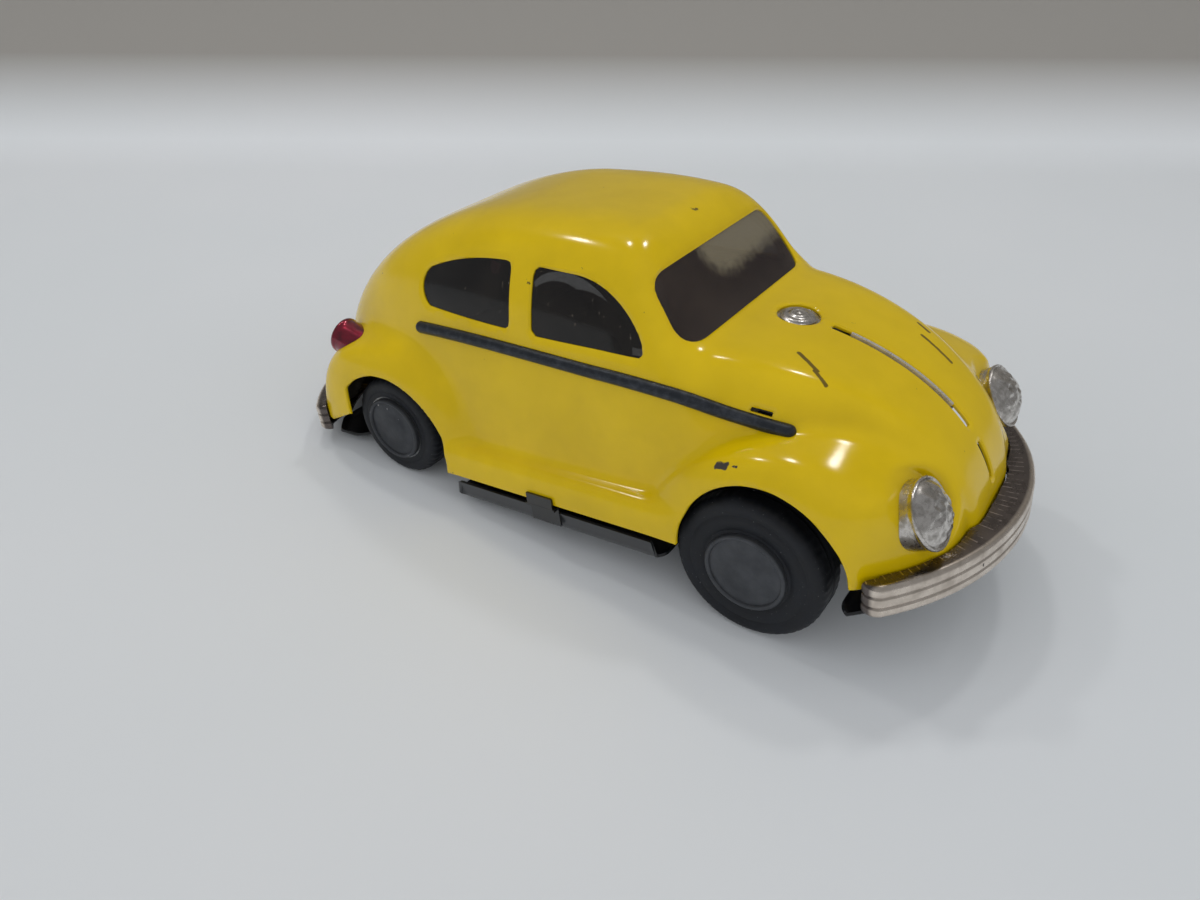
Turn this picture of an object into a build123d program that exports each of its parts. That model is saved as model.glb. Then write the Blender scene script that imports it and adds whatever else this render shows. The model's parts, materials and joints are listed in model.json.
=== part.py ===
"""Friction-drive tin saloon car, about 156 mm long.

Every piece is drawn in the car's own frame: x forward from the midpoint between
the axles, y to the car's left, z up from the lower edge of the body shell.  At the
end the whole car is tipped until all four tyres stand on z = 0 and moved until the
origin is the middle of the floor area that it covers.
"""
from build123d import *
import math
import os
import numpy as np

# ---------------------------------------------------------------- driving dimensions, mm
# running gear
wheelbase = 82.0
front_axle_height = -3.2          # from the lower edge of the shell
rear_axle_height = 5.6
front_tyre_radius = 13.85
rear_tyre_radius = 11.0
front_tyre_width = 8.0
rear_tyre_width = 7.0
tyre_face = 30.4                  # outer face of every tyre, from the middle of the car
tyre_shoulder = 1.6
rim_radius = 7.2                  # seat of the tyre on the wheel drum
drum_wall = 0.6
hub_radius = 2.6
cap_overlap = 0.3                 # how far a hub cap covers the tyre
cap_depth = 1.1
axle_radius = 1.25
running_clearance = 0.05          # radial, shaft in hole

# body forms
shell_wall = 0.4
nose_reach = 31.0                 # body ahead of the front axle
tail_reach = 29.0                 # body behind the rear axle
roof_height = 50.0
roof_peak = -8.0                  # where the roof is highest, along x
roof_front_reach = 60.0           # half length of the roof's oval, forward
cabin_half_width = 29.2
screen_foot = (27.3, 30.5)        # foot of the windscreen plane, x and z
screen_lean = 28.07               # degrees from upright
screen_blend = 6.0
bonnet_start = 20.0               # where the bonnet's oval begins, along x
bonnet_height = 31.8
bonnet_half_width = 31.5
bonnet_taper = 0.58
bonnet_taper_foot = 18.0          # height above which the full taper counts
front_wing = dict(ahead=2.5, across=20.0, length=22.8, width=13.5, height=24.0, droop=0.2)
rear_wing = dict(ahead=-0.5, across=19.0, length=22.5, width=14.3, height=25.0, droop=0.12)
wing_blend = 4.0
bonnet_blend = 5.0
sill_half_length = 47.0
sill_half_width = 32.8
sill_height = 7.5
sill_blend = 2.5
front_arch = dict(ahead=3.2, height=0.2, radius=14.8)
rear_arch = dict(ahead=2.8, height=4.0, radius=14.8)
arch_depth = 24.0                 # how far the arches cut inwards
tail_edge_height = 4.5            # lower edge of the shell behind the rear wheels

# openings and what shows in them
pane_thickness = 0.3
pane_overlap = 1.2                # how far a pane reaches past its opening
seat_gap = 0.1                    # between the shell and what lies against it
screen_sill, screen_header = 31.3, 42.7
screen_half_width_low, screen_half_width_high = 22.2, 20.6
screen_corner = 4.0
window_corner = 1.2
belt_front, belt_rear = 30.6, 32.8
window_top = 43.0
front_window = (-1.9, 21.4)       # along x at the belt
rear_window = (-30.0, -6.9)
back_window = dict(height=37.0, width=20.0, tall=8.5)
bonnet_slot = (43.0, 66.9)        # along x
bonnet_slot_width = 1.5
nose_slot = (5.8, 12.2)           # along z
strip_end_gap = 3.0               # bare slot at each end of the strip
strip_width = 1.0
strip_flange = 4.0
badge_place = 36.9
badge_hole_radius = 3.8
badge_radius = 3.3
badge_dome, badge_rise = 0.3, 0.8  # crown above the bonnet, and how far it rises from its edge
badge_flange, badge_flange_wall, badge_flange_drop = 1.0, 0.4, 0.45
trim_rear, trim_front = -31.5, 46.5
trim_rear_angle, trim_front_angle = 47.5, 42.4  # above the sill edge, seen from the front
trim_stations = 5
trim_proud = 0.3                  # how far the middle of its round section stands off the body
trim_radius = 1.2
tab_length, tab_thickness, tab_reach = 3.4, 0.5, 1.6
tab_clearance = 0.15
headlamp_across, headlamp_height = 20.8, 9.6
headlamp_radius, headlamp_barrel, headlamp_dome = 6.3, 1.4, 3.4
headlamp_pitch, headlamp_toe_out = 21.0, 6.0
tail_lamp_across, tail_lamp_height = 25.2, 21.8
tail_lamp_radius, tail_lamp_length = 3.9, 3.8
tail_lamp_pitch, tail_lamp_toe_out = 20.0, 4.0

# bumpers
bumper_radius = 43.8
front_bumper_face, rear_bumper_face = 36.4, 37.8   # beyond the axle
bumper_height, bumper_wall, bumper_flange = 6.1, 0.5, 6.4
front_bumper_middle, rear_bumper_middle = -0.5, 4.1
bumper_half_angle = 48.0
bumper_rib_height, bumper_rib_proud = 1.0, 0.35
bumper_body_gap = 0.3
bumper_hole_across, bumper_hole_radius = 13.9, 0.9

# chassis tray
tray_wall = 0.5
tray_underside = -6.0
tray_kick = 4.4                   # how much higher the tray is behind the kick-up
kick_start, kick_length = -24.0, 8.0
tray_half_width = 33.6
tray_side_height = 4.4
tray_tab = (-3.8, 3.0, 7.3)       # from x, to x, height above the underside
tray_spine_half_width = 19.5
tray_front, tray_rear = 69.0, -64.0
tray_front_half_width, tray_rear_half_width = 32.0, 29.0
tray_bumper_room = 3.8            # between the tray's end and the bumper's face
wheel_room = 1.6                  # between a tyre and the tray, lengthwise
ear_across, ear_width = 15.5, 7.0

# friction drive
gear_module = 0.5
pressure_angle = 20.0
tooth_tip, tooth_root = 0.8, 1.15  # in modules
gear_backlash = 0.09
wheel_teeth, pinion_teeth = 32, 12
gear_thickness, pinion_thickness = 2.0, 2.6
first_mesh_across, second_mesh_across = -4.6, 2.5
idler_angle, flywheel_angle = 20.0, 10.0
arbor_radius = 1.0
plate_inner, plate_wall = 7.0, 0.8
plate_margin = 4.2
rivet_radius = 1.2
rivet_margin = 1.8
foot_length, foot_reach = 7.0, 3.2
flywheel_radius, flywheel_thickness, flywheel_gap = 12.0, 4.0, 0.6

# ---------------------------------------------------------------- places worked out
front_axle_x = wheelbase / 2
rear_axle_x = -wheelbase / 2
nose_x = front_axle_x + nose_reach
tail_x = rear_axle_x - tail_reach
mesh_distance = gear_module * (wheel_teeth + pinion_teeth) / 2


def step_from(start, angle, distance):
    """The point at a distance from a start, at an angle above forward, in side view."""
    turn = math.radians(angle)
    return (start[0] + distance * math.cos(turn), start[1] + distance * math.sin(turn))


front_axle_at = (front_axle_x, front_axle_height)
rear_axle_at = (rear_axle_x, rear_axle_height)
idler_at = step_from(rear_axle_at, idler_angle, mesh_distance)
flywheel_at = step_from(idler_at, flywheel_angle, mesh_distance)


# ---------------------------------------------------------------- the pressed body form
def oval(x, y, z, centre, reach, powers, size):
    """Below zero inside a box-like oval, about in millimetres near its surface."""
    total = sum(
        np.abs((value - middle) / half) ** power
        for value, middle, half, power in zip((x, y, z), centre, reach, powers)
    )
    return (np.maximum(total, 1e-9) ** (3 / sum(powers)) - 1) * size


def melt(a, b, width):
    """Joins two forms with a hollow fillet of about the given width."""
    share = np.clip(0.5 + 0.5 * (b - a) / width, 0, 1)
    return b * (1 - share) + a * share - width * share * (1 - share)


def cabin_form(x, y, z):
    """Roof and doors: one oval, cut off by the sloping plane of the windscreen."""
    reach_x = np.where(x > roof_peak, roof_front_reach, roof_peak - tail_x)
    roof = oval(x, y, z, (roof_peak, 0, 0), (reach_x, cabin_half_width, roof_height),
                (2.3, 4.6, 3.0), 30)
    lean = math.radians(screen_lean)
    screen = (x - screen_foot[0]) * math.cos(lean) + (z - screen_foot[1]) * math.sin(lean)
    return -melt(-roof, -screen, screen_blend)


def bonnet_form(x, y, z):
    """Bonnet and nose: an oval whose upper part tapers towards the nose."""
    length = nose_x - bonnet_start
    along = np.clip((x - bonnet_start) / length, 0, 1.2)
    high = 0.5 + 0.5 * np.clip(z / bonnet_taper_foot, 0, 1)
    half_width = bonnet_half_width * (1 - bonnet_taper * along * high)
    return oval(x, y, z, (bonnet_start, 0, 0), (length, half_width, bonnet_height),
                (2.2, 6.5, 2.1), 30)


def wing_form(x, y, z, wing, axle_x, powers):
    """One wing, with its top sloping down outwards."""
    lowered = z + wing["droop"] * (y - wing["across"])
    return oval(x, y, lowered, (axle_x + wing["ahead"], wing["across"], 0),
                (wing["length"], wing["width"], wing["height"]), powers, 18)


def body_form(x, y, z):
    """The whole pressing: below zero inside, upright walls under z = 0."""
    y = np.abs(y)
    z = np.maximum(z, 0)
    form = melt(cabin_form(x, y, z), bonnet_form(x, y, z), bonnet_blend)
    form = melt(form, wing_form(x, y, z, front_wing, front_axle_x, (2.4, 6, 2.4)), wing_blend)
    form = melt(form, wing_form(x, y, z, rear_wing, rear_axle_x, (2.6, 6, 2.6)), wing_blend)
    sill = oval(x, y, z, (0, 0, 0), (sill_half_length, sill_half_width, sill_height),
                (8, 12, 5), 10)
    return melt(form, sill, sill_blend)


def slope_of(x, y, z, step=0.05):
    """Gradient of the body form."""
    return np.array([
        body_form(x + step, y, z) - body_form(x - step, y, z),
        body_form(x, y + step, z) - body_form(x, y - step, z),
        body_form(x, y, z + step) - body_form(x, y, z - step),
    ]) / (2 * step)


def reach_along(start, direction, inset):
    """Distance from a start inside the body to its skin, moved inwards by an inset."""
    near = np.zeros(np.shape(direction[0])) + 2.0
    far = near + 95.0
    for _ in range(36):
        middle = (near + far) / 2
        at = [s + middle * d for s, d in zip(start, direction)]
        depth = body_form(*at) + inset * np.linalg.norm(slope_of(*at), axis=0)
        near = np.where(depth < 0, middle, near)
        far = np.where(depth < 0, far, middle)
    return near


skin_floor = -14.0                # the skins run down past the shell's lower edge
skin_side_angle = 80.0
fan_stations, middle_stations, cross_stations = 16, 32, 45


def skin(inset):
    """One smooth face through rays that fan out from the car's backbone."""
    swing = np.radians(np.linspace(0, 90, fan_stations, endpoint=False))
    upright = np.full(middle_stations, np.pi / 2)
    turn = np.concatenate([np.pi - swing, upright, swing[::-1]])[:, None]
    along = np.concatenate([
        np.full(fan_stations, rear_axle_x),
        np.linspace(rear_axle_x, front_axle_x, middle_stations),
        np.full(fan_stations, front_axle_x),
    ])[:, None]
    side = np.radians(np.linspace(-skin_side_angle, skin_side_angle, cross_stations))[None, :]
    direction = (np.cos(turn) * np.cos(side), np.sin(side) + 0 * turn, np.sin(turn) * np.cos(side))
    start = (along, 0.0, skin_floor)
    length = reach_along(start, direction, inset)
    x, y, z = (s + length * d for s, d in zip(start, direction))
    rows = [[(x[i, j], y[i, j], z[i, j]) for j in range(x.shape[1])] for i in range(x.shape[0])]
    return Face.make_surface_from_array_of_points(rows, tol=0.05, min_deg=3, max_deg=3)


def depth_at(piece):
    """How deep in the body form a piece's centre lies."""
    middle = piece.center()
    return float(body_form(middle.X, middle.Y, middle.Z))


def main_cuts(piece, face):
    """The pieces that a skin cuts from a piece, without crumbs."""
    cuts = list(piece.split(face, keep=Keep.ALL))
    spans = [cut.bounding_box().diagonal for cut in cuts]
    return [cut for cut, span in zip(cuts, spans) if span > 0.5 * max(spans)]


def under(piece, face):
    """The part of a piece that lies inside a skin."""
    return min(main_cuts(piece, face), key=depth_at)


def over(piece, face):
    """The part of a piece that lies outside a skin."""
    return max(main_cuts(piece, face), key=depth_at)


outer_skin = skin(0.0)
inner_skin = skin(shell_wall)
proud_skin = skin(-seat_gap)
pane_skin = skin(shell_wall + seat_gap)
pane_back_skin = skin(shell_wall + seat_gap + pane_thickness)


# ---------------------------------------------------------------- outlines of the openings
def front_window_outline(grow=0.0):
    """Front side window: upright rear edge, front edge curving down with the roof."""
    low, high = front_window[0] - grow, front_window[1] + grow
    top, belt = window_top + grow, belt_front - grow
    lean = 0.6 * (high - low)
    edge = [
        Line((low, belt + 0.8), (low, top)),
        Line((low, top), (low + 0.4 * (high - low), top - 0.6)),
        ThreePointArc((low + 0.4 * (high - low), top - 0.6),
                      (low + 0.4 * (high - low) + 0.62 * lean, top - 4.2), (high, belt)),
        Line((high, belt), (low, belt + 0.8)),
    ]
    face = make_face(Curve() + edge)
    return fillet(face.vertices().filter_by(lambda v: abs(v.X - low) < 0.01 or v.Y < belt + 0.01),
                  window_corner)


def rear_window_outline(grow=0.0):
    """Rear side window: upright front edge, rounded at the back."""
    low, high = rear_window[0] - grow, rear_window[1] + grow
    top, belt = window_top + 0.4 + grow, belt_rear - grow
    edge = [
        Line((high, belt - 1.0), (high, top)),
        ThreePointArc((high, top), ((low + high) / 2, top - 0.7), (low + 3.0, top - 2.9)),
        ThreePointArc((low + 3.0, top - 2.9), (low, (top + belt) / 2 - 1.2), (low + 3.0, belt)),
        Line((low + 3.0, belt), (high, belt - 1.0)),
    ]
    face = make_face(Curve() + edge)
    return fillet(face.vertices().filter_by(lambda v: abs(v.X - high) < 0.01), window_corner)


def screen_plane(height):
    """Plane of the windscreen, its own y up the slope, at a height above the sills."""
    lean = math.radians(screen_lean)
    x = screen_foot[0] - (height - screen_foot[1]) * math.tan(lean)
    outward = (math.cos(lean), 0, math.sin(lean))
    return Plane(origin=(x, 0, height), x_dir=(0, 1, 0), z_dir=outward)


def screen_outline(grow=0.0):
    """Windscreen opening, a little narrower at the top."""
    half = (screen_header - screen_sill) / 2 / math.cos(math.radians(screen_lean)) + grow
    low, high = screen_half_width_low + grow, screen_half_width_high + grow
    face = make_face(Polyline((-low, -half), (low, -half), (high, half), (-high, half), close=True))
    return fillet(face.vertices(), screen_corner)


def screen_prism(grow=0.0, reach=5.0):
    """The windscreen outline drawn out both ways along its own normal."""
    plane = screen_plane((screen_header + screen_sill) / 2)
    return extrude(plane * screen_outline(grow), amount=reach, both=True)


def back_window_prism(grow=0.0):
    """Small oval rear window, cut straight forward into the sloping back."""
    oval_face = Ellipse(back_window["width"] / 2 + grow, back_window["tall"] / 2 + grow)
    plane = Plane(origin=(tail_x, 0, back_window["height"]), x_dir=(0, 1, 0), z_dir=(1, 0, 0))
    return extrude(plane * oval_face, amount=0.6 * (roof_peak - tail_x))


def bonnet_slot_prism(width, end_gap=0.0):
    """The long slot in the bonnet, seen from above, with square ends."""
    length = bonnet_slot[1] - bonnet_slot[0] - 2 * end_gap
    middle = (bonnet_slot[0] + bonnet_slot[1]) / 2
    return Pos(middle, 0, bonnet_height / 2 + 3) * Box(length, width, bonnet_height)


def skin_x(y, z, facing):
    """Where the body's front or rear skin is, at a place in front view."""
    axle_x = front_axle_x if facing > 0 else rear_axle_x
    return axle_x + facing * float(reach_along((axle_x, y, z), (float(facing), 0.0, 0.0), 0.0))


def lamp_frame(side, facing):
    """Frame of a lamp on its wing, z pointing out of the lamp."""
    across, height, pitch, toe_out = (
        (headlamp_across, headlamp_height, headlamp_pitch, headlamp_toe_out) if facing > 0
        else (tail_lamp_across, tail_lamp_height, tail_lamp_pitch, tail_lamp_toe_out)
    )
    rise, turn = math.radians(pitch), math.radians(side * toe_out)
    axis = (facing * math.cos(rise) * math.cos(turn), math.cos(rise) * math.sin(turn),
            math.sin(rise))
    origin = (skin_x(across, height, facing), side * across, height)
    return Plane(origin=origin, z_dir=axis)


def badge_frame():
    """Frame on the bonnet's skin where the badge sits, z along the skin's normal."""
    z = float(reach_along((badge_place, 0.0, 0.0), (0.0, 0.0, 1.0), 0.0))
    along, _, up = slope_of(badge_place, 0.0, z)
    return Plane(origin=(badge_place, 0, z), x_dir=(0, 1, 0), z_dir=(float(along), 0, float(up)))


def trim_points(side):
    """Points of a side trim on the body, on rays that rise from the middle of the car."""
    points = []
    for step in range(trim_stations):
        share = step / (trim_stations - 1)
        x = trim_rear + share * (trim_front - trim_rear)
        rise = math.radians(trim_rear_angle + share * (trim_front_angle - trim_rear_angle))
        length = trim_proud + float(reach_along((x, 0.0, 0.0),
                                                (0.0, math.cos(rise), math.sin(rise)), 0.0))
        points.append((x, side * length * math.cos(rise), length * math.sin(rise)))
    return points


def trim_path(side):
    """The line that a side trim follows."""
    return Spline(*trim_points(side))


trim_tab_shares = (0.06, 0.5, 0.93)


def trim_tab(side, share, clearance):
    """A tab of a side trim, which passes through the shell."""
    at = trim_path(side).position_at(share)
    box = Box(tab_length + 2 * clearance, 2 * tab_reach + 2 * shell_wall,
              tab_thickness + 2 * clearance)
    return Pos(at.X, at.Y - side * tab_reach, at.Z + 0.4 * trim_radius) * box


# ---------------------------------------------------------------- body shell
def arch_cutter(arch, axle_x, side):
    """Cylinder that opens one wheel arch."""
    middle = sill_half_width + wing_blend - arch_depth / 2
    at = Pos(axle_x + arch["ahead"], side * middle, arch["height"])
    return at * Rot(90, 0, 0) * Cylinder(arch["radius"], arch_depth)


def make_shell():
    """The deep-drawn shell: two skins, then the arches, windows and slots."""
    block_height = roof_height + 10
    block = Pos(0, 0, block_height / 2) * Box(nose_x - tail_x + 30, 3 * cabin_half_width, block_height)
    shell = over(under(block, outer_skin), inner_skin)
    cutters = [arch_cutter(front_arch, front_axle_x, side) for side in (-1, 1)]
    cutters += [arch_cutter(rear_arch, rear_axle_x, side) for side in (-1, 1)]
    tail_length = rear_axle_x - tail_x
    cutters.append(Pos(tail_x - 5 + (tail_length + 5) / 2, 0, 0)
                   * Box(tail_length + 5, 4 * cabin_half_width, 2 * tail_edge_height))
    cutters.append(screen_prism())
    cutters.append(back_window_prism())
    for side in (-1, 1):
        for outline in (front_window_outline(), rear_window_outline()):
            near, far = cabin_half_width * 0.55, cabin_half_width * 1.2
            cutters.append(extrude(Plane.XZ.offset(-side * near) * outline,
                                   amount=-side * (far - near)))
        cutters += [trim_tab(side, share, tab_clearance) for share in trim_tab_shares]
    cutters.append(bonnet_slot_prism(bonnet_slot_width))
    nose_slot_height = nose_slot[1] - nose_slot[0]
    cutters.append(Pos(nose_x, 0, (nose_slot[0] + nose_slot[1]) / 2)
                   * Box(12, bonnet_slot_width, nose_slot_height))
    cutters.append(badge_frame() * Cylinder(badge_hole_radius, 4))
    for cutter in cutters:
        shell = shell - cutter
    return shell


def pane(prism):
    """A pane that follows the inside of the shell behind an opening."""
    return over(under(prism, pane_skin), pane_back_skin)


def side_pane(side):
    """One tinted sheet behind both windows of a side, clear of the windscreen."""
    middle = (rear_window[1] + front_window[0]) / 2
    outline = front_window_outline(pane_overlap) + rear_window_outline(pane_overlap)
    bridge = Rectangle(front_window[0] - rear_window[1], window_top - belt_rear + 2)
    outline = outline + Pos(middle, (window_top + belt_rear) / 2) * bridge
    near, far = cabin_half_width * 0.6, cabin_half_width * 1.1
    sheet = pane(extrude(Plane.XZ.offset(-side * near) * outline, amount=-side * (far - near)))
    return sheet - screen_prism(pane_overlap + 0.4, 7.0)


# ---------------------------------------------------------------- bright trim
def make_strip():
    """Bonnet strip: a narrow rib standing in the slot on a flange under the shell."""
    rib = over(under(bonnet_slot_prism(strip_width, strip_end_gap), proud_skin), pane_skin)
    flange = over(under(bonnet_slot_prism(strip_flange, 0.5), pane_skin), pane_back_skin)
    return flange + rib


def make_badge():
    """Badge: a plain domed disc on a flange that lies under the bonnet."""
    rim = badge_hole_radius + badge_flange
    seat = -shell_wall - badge_flange_drop
    base = seat - badge_flange_wall
    shoulder = badge_dome - badge_rise
    profile = Polyline((0, base), (rim, base), (rim, seat), (badge_radius, seat),
                       (badge_radius, shoulder))
    dome = RadiusArc((badge_radius, shoulder), (0, badge_dome),
                     -(badge_radius ** 2 + badge_rise ** 2) / (2 * badge_rise))
    close = Line((0, badge_dome), (0, base))
    face = make_face(Curve() + [profile, dome, close])
    return badge_frame() * revolve(Plane.XZ * face, Axis.Z)


def make_side_trim(side):
    """Half-round moulding with rounded ends, trimmed to the body, with its tabs."""
    path = trim_path(side)
    start = Plane(origin=path @ 0, z_dir=path % 0)
    bead = sweep(start * Circle(trim_radius), path=path)
    bead = bead + [Pos(*(path @ end)) * Sphere(trim_radius) for end in (0, 1)]
    trim = over(bead, proud_skin)
    for share in trim_tab_shares:
        trim = trim + trim_tab(side, share, 0)
    return trim


def lamp(frame, radius, barrel, dome, facing_skin):
    """A domed cap whose barrel is cut to the wing that it stands on."""
    sink = radius
    profile = Polyline((0, -sink), (radius, -sink), (radius, barrel))
    arc = ThreePointArc((radius, barrel), (radius * 0.68, barrel + dome * 0.72), (0, barrel + dome))
    close = Line((0, barrel + dome), (0, -sink))
    solid = revolve(Plane.XZ * make_face(Curve() + [profile, arc, close]), Axis.Z)
    return over(frame * solid, facing_skin)


# ---------------------------------------------------------------- bumpers
def bumper_profile(middle):
    """Channel section open to the car, with two ribs on its face."""
    low, high = middle - bumper_height / 2, middle + bumper_height / 2
    face_r = bumper_radius
    back_r = face_r - bumper_wall
    edge_r = face_r - bumper_flange
    ribs = []
    for height in (middle - bumper_rib_height, middle + bumper_rib_height):
        ribs += [(face_r, height - 0.5), (face_r + bumper_rib_proud, height - 0.25),
                 (face_r + bumper_rib_proud, height + 0.25), (face_r, height + 0.5)]
    points = [(edge_r, low), (face_r - 0.8, low), (face_r, low + 0.8), *ribs,
              (face_r, high - 0.8), (face_r - 0.8, high), (edge_r, high),
              (edge_r, high - bumper_wall), (back_r - 0.5, high - bumper_wall),
              (back_r, high - bumper_wall - 0.5), (back_r, low + bumper_wall + 0.5),
              (back_r - 0.5, low + bumper_wall), (edge_r, low + bumper_wall)]
    return make_face(Polyline(*points, close=True))


def bumper_end(middle):
    """The closed, rounded end of a bumper: half a turn of the channel's outline."""
    low, high = middle - bumper_height / 2, middle + bumper_height / 2
    face_r, edge_r = bumper_radius, bumper_radius - bumper_flange * 0.5
    points = [(edge_r, low), (face_r - 0.8, low), (face_r, low + 0.8), (face_r, high - 0.8),
              (face_r - 0.8, high), (edge_r, high)]
    return make_face(Polyline(*points, close=True))


def make_bumper(facing):
    """A bowed channel that wraps round one end of the car."""
    axle_x, face, middle = (
        (front_axle_x, front_bumper_face, front_bumper_middle) if facing > 0
        else (rear_axle_x, rear_bumper_face, rear_bumper_middle)
    )
    centre = Pos(axle_x + facing * (face - bumper_radius), 0, 0) * Rot(0, 0, 0 if facing > 0 else 180)
    bow = revolve(Plane.XZ * bumper_profile(middle), Axis.Z, revolution_arc=2 * bumper_half_angle)
    bow = Rot(0, 0, -bumper_half_angle) * bow
    ends = []
    end_angle = math.degrees(2 * bumper_wall / bumper_radius)
    for turn in (-bumper_half_angle - end_angle, bumper_half_angle):
        ends.append(Rot(0, 0, turn) * revolve(Plane.XZ * bumper_end(middle), Axis.Z,
                                              revolution_arc=end_angle))
    bumper = centre * (bow + ends)
    bumper = over(bumper, skin_for_bumper)
    for side in (-1, 1):
        hole = Rot(0, 90, 0) * Cylinder(bumper_hole_radius, 30)
        bumper = bumper - Pos(bumper_face_x(facing), side * bumper_hole_across, tongue_height(facing)) * hole
    return bumper


def bumper_face_x(facing):
    """Where the bumper's face is, at the holes."""
    axle_x, face = (front_axle_x, front_bumper_face) if facing > 0 else (rear_axle_x, rear_bumper_face)
    drop = bumper_radius - math.sqrt(bumper_radius ** 2 - bumper_hole_across ** 2)
    return axle_x + facing * (face - drop)


def tongue_height(facing):
    """Middle height of the chassis tongues that carry a bumper."""
    return front_bumper_middle if facing > 0 else rear_bumper_middle


skin_for_bumper = skin(-bumper_body_gap)


# ---------------------------------------------------------------- chassis
def make_chassis():
    """The black tray: a bent plate with upturned sides, tabs, ears and tongues."""
    under_z = tray_underside
    kick_end = kick_start - kick_length
    side_view = [
        (tray_front, under_z), (kick_start, under_z), (kick_end, under_z + tray_kick),
        (tray_rear, under_z + tray_kick), (tray_rear, under_z + tray_kick + tray_wall),
        (kick_end, under_z + tray_kick + tray_wall), (kick_start, under_z + tray_wall),
        (tray_front, under_z + tray_wall),
    ]
    bent = extrude(Plane.XZ * make_face(Polyline(*side_view, close=True)),
                   amount=tray_half_width, both=True)
    tray = bent & extrude(tray_plan(), amount=30, both=True)
    for side in (-1, 1):
        tray = tray + [tray_side(side), axle_ear(side)]
        tray = tray + [tongue(side, 1), tongue(side, -1)]
    gear_room = gear_module * wheel_teeth / 2 + 1.0
    slot = Box(2 * gear_room, gear_thickness + 2.0, 20)
    tray = tray - Pos(rear_axle_x, first_mesh_across, 0) * slot
    hole = Rot(90, 0, 0) * Cylinder(axle_radius + running_clearance, 60)
    return tray - Pos(front_axle_x, 0, front_axle_height) * hole


def tray_plan():
    """Plan of the tray: wide between the wheels and at both ends, narrow beside them."""
    half_ways = [
        (tray_rear, tray_front, tray_spine_half_width),
        (rear_axle_x + rear_tyre_radius + wheel_room + 3.5,
         front_axle_x - front_tyre_radius - wheel_room, tray_half_width),
        (front_axle_x + front_tyre_radius + wheel_room, tray_front, tray_front_half_width),
        (tray_rear, rear_axle_x - rear_tyre_radius - wheel_room, tray_rear_half_width),
    ]
    plan = Sketch()
    for low, high, half in half_ways:
        plan = plan + Pos((low + high) / 2, 0) * Rectangle(high - low, 2 * half)
    front_bow = Pos(front_axle_x + front_bumper_face - bumper_radius, 0)
    rear_bow = Pos(rear_axle_x - rear_bumper_face + bumper_radius, 0)
    bow = Circle(bumper_radius - tray_bumper_room)
    return plan & make_hull((front_bow * bow).edges() + (rear_bow * bow).edges())


def tray_side(side):
    """Upturned side of the tray, with the tab that holds the shell."""
    low = rear_axle_x + rear_tyre_radius + wheel_room + 3.5
    high = front_axle_x - front_tyre_radius - wheel_room
    top = tray_underside + tray_side_height
    wall = make_face(Polyline((low + 2.5, tray_underside), (high - 1.0, tray_underside),
                              (high, tray_underside + 1.0), (high, top), (low, top),
                              (low, tray_underside + 2.5), close=True))
    tab_low, tab_high, tab_top = tray_tab
    tab = make_face(Polyline((tab_low, tray_underside), (tab_high, tray_underside),
                             (tab_high, tray_underside + tab_top), (tab_low, tray_underside + tab_top),
                             close=True))
    tab = fillet(tab.vertices().sort_by(Axis.Y)[-2:], 1.2)
    return extrude(Plane.XZ.offset(-side * (tray_half_width - tray_wall)) * (wall + tab),
                   amount=-side * tray_wall)


def axle_ear(side):
    """Ear bent up from the tray, which carries the front axle."""
    upright = make_face(Polyline((-ear_width / 2, tray_underside), (ear_width / 2, tray_underside),
                                 (ear_width / 2, front_axle_height),
                                 (-ear_width / 2, front_axle_height), close=True))
    ear = upright + Pos(0, front_axle_height) * Circle(ear_width / 2)
    ear = ear - Pos(0, tray_underside - ear_width) * Rectangle(2 * ear_width, 2 * ear_width)
    ear = Pos(front_axle_x, 0) * ear
    return extrude(Plane.XZ.offset(-side * ear_across) * ear, amount=-side * tray_wall)


def tongue(side, facing):
    """Strip bent up from the tray's end, whose tip sits in the bumper's hole."""
    start = tray_front - 1.0 if facing > 0 else tray_rear + 1.0
    base = tray_underside + (0 if facing > 0 else tray_kick)
    height = tongue_height(facing)
    face = bumper_face_x(facing)
    end = face - facing * (bumper_wall + 0.7)
    half = tray_wall / 2
    riser = Pos(start, 0, (base + height + half) / 2) * Box(tray_wall, 3.0, height + half - base)
    arm = Pos((start + end) / 2, 0, height) * Box(abs(end - start), 3.0, tray_wall)
    tip = Pos((start + face) / 2, 0, height) * Box(abs(face - start), 1.2, tray_wall)
    return Pos(0, side * bumper_hole_across, 0) * (riser + [arm, tip])


# ---------------------------------------------------------------- wheels
def lathe(points, at, side):
    """A turned piece on an axle: points are distance outwards along y, and radius."""
    face = make_face(Polyline(*[(radius, side * out) for out, radius in points], close=True))
    return Pos(at[0], 0, at[1]) * revolve(Plane.XY * face, Axis.Y)


def make_tyre(at, side, radius, width):
    """Rubber tyre with rounded shoulders."""
    inner, outer = tyre_face - width, tyre_face
    body = Polyline((rim_radius, inner), (radius, inner), (radius, outer), (rim_radius, outer), close=True)
    face = make_face(body)
    face = fillet([v for v in face.vertices() if v.X > radius - 0.01], tyre_shoulder)
    ring = revolve(Plane.XY * face, Axis.Y)
    ring = ring if side > 0 else mirror(ring, Plane.XZ)
    return Pos(at[0], 0, at[1]) * ring


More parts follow.
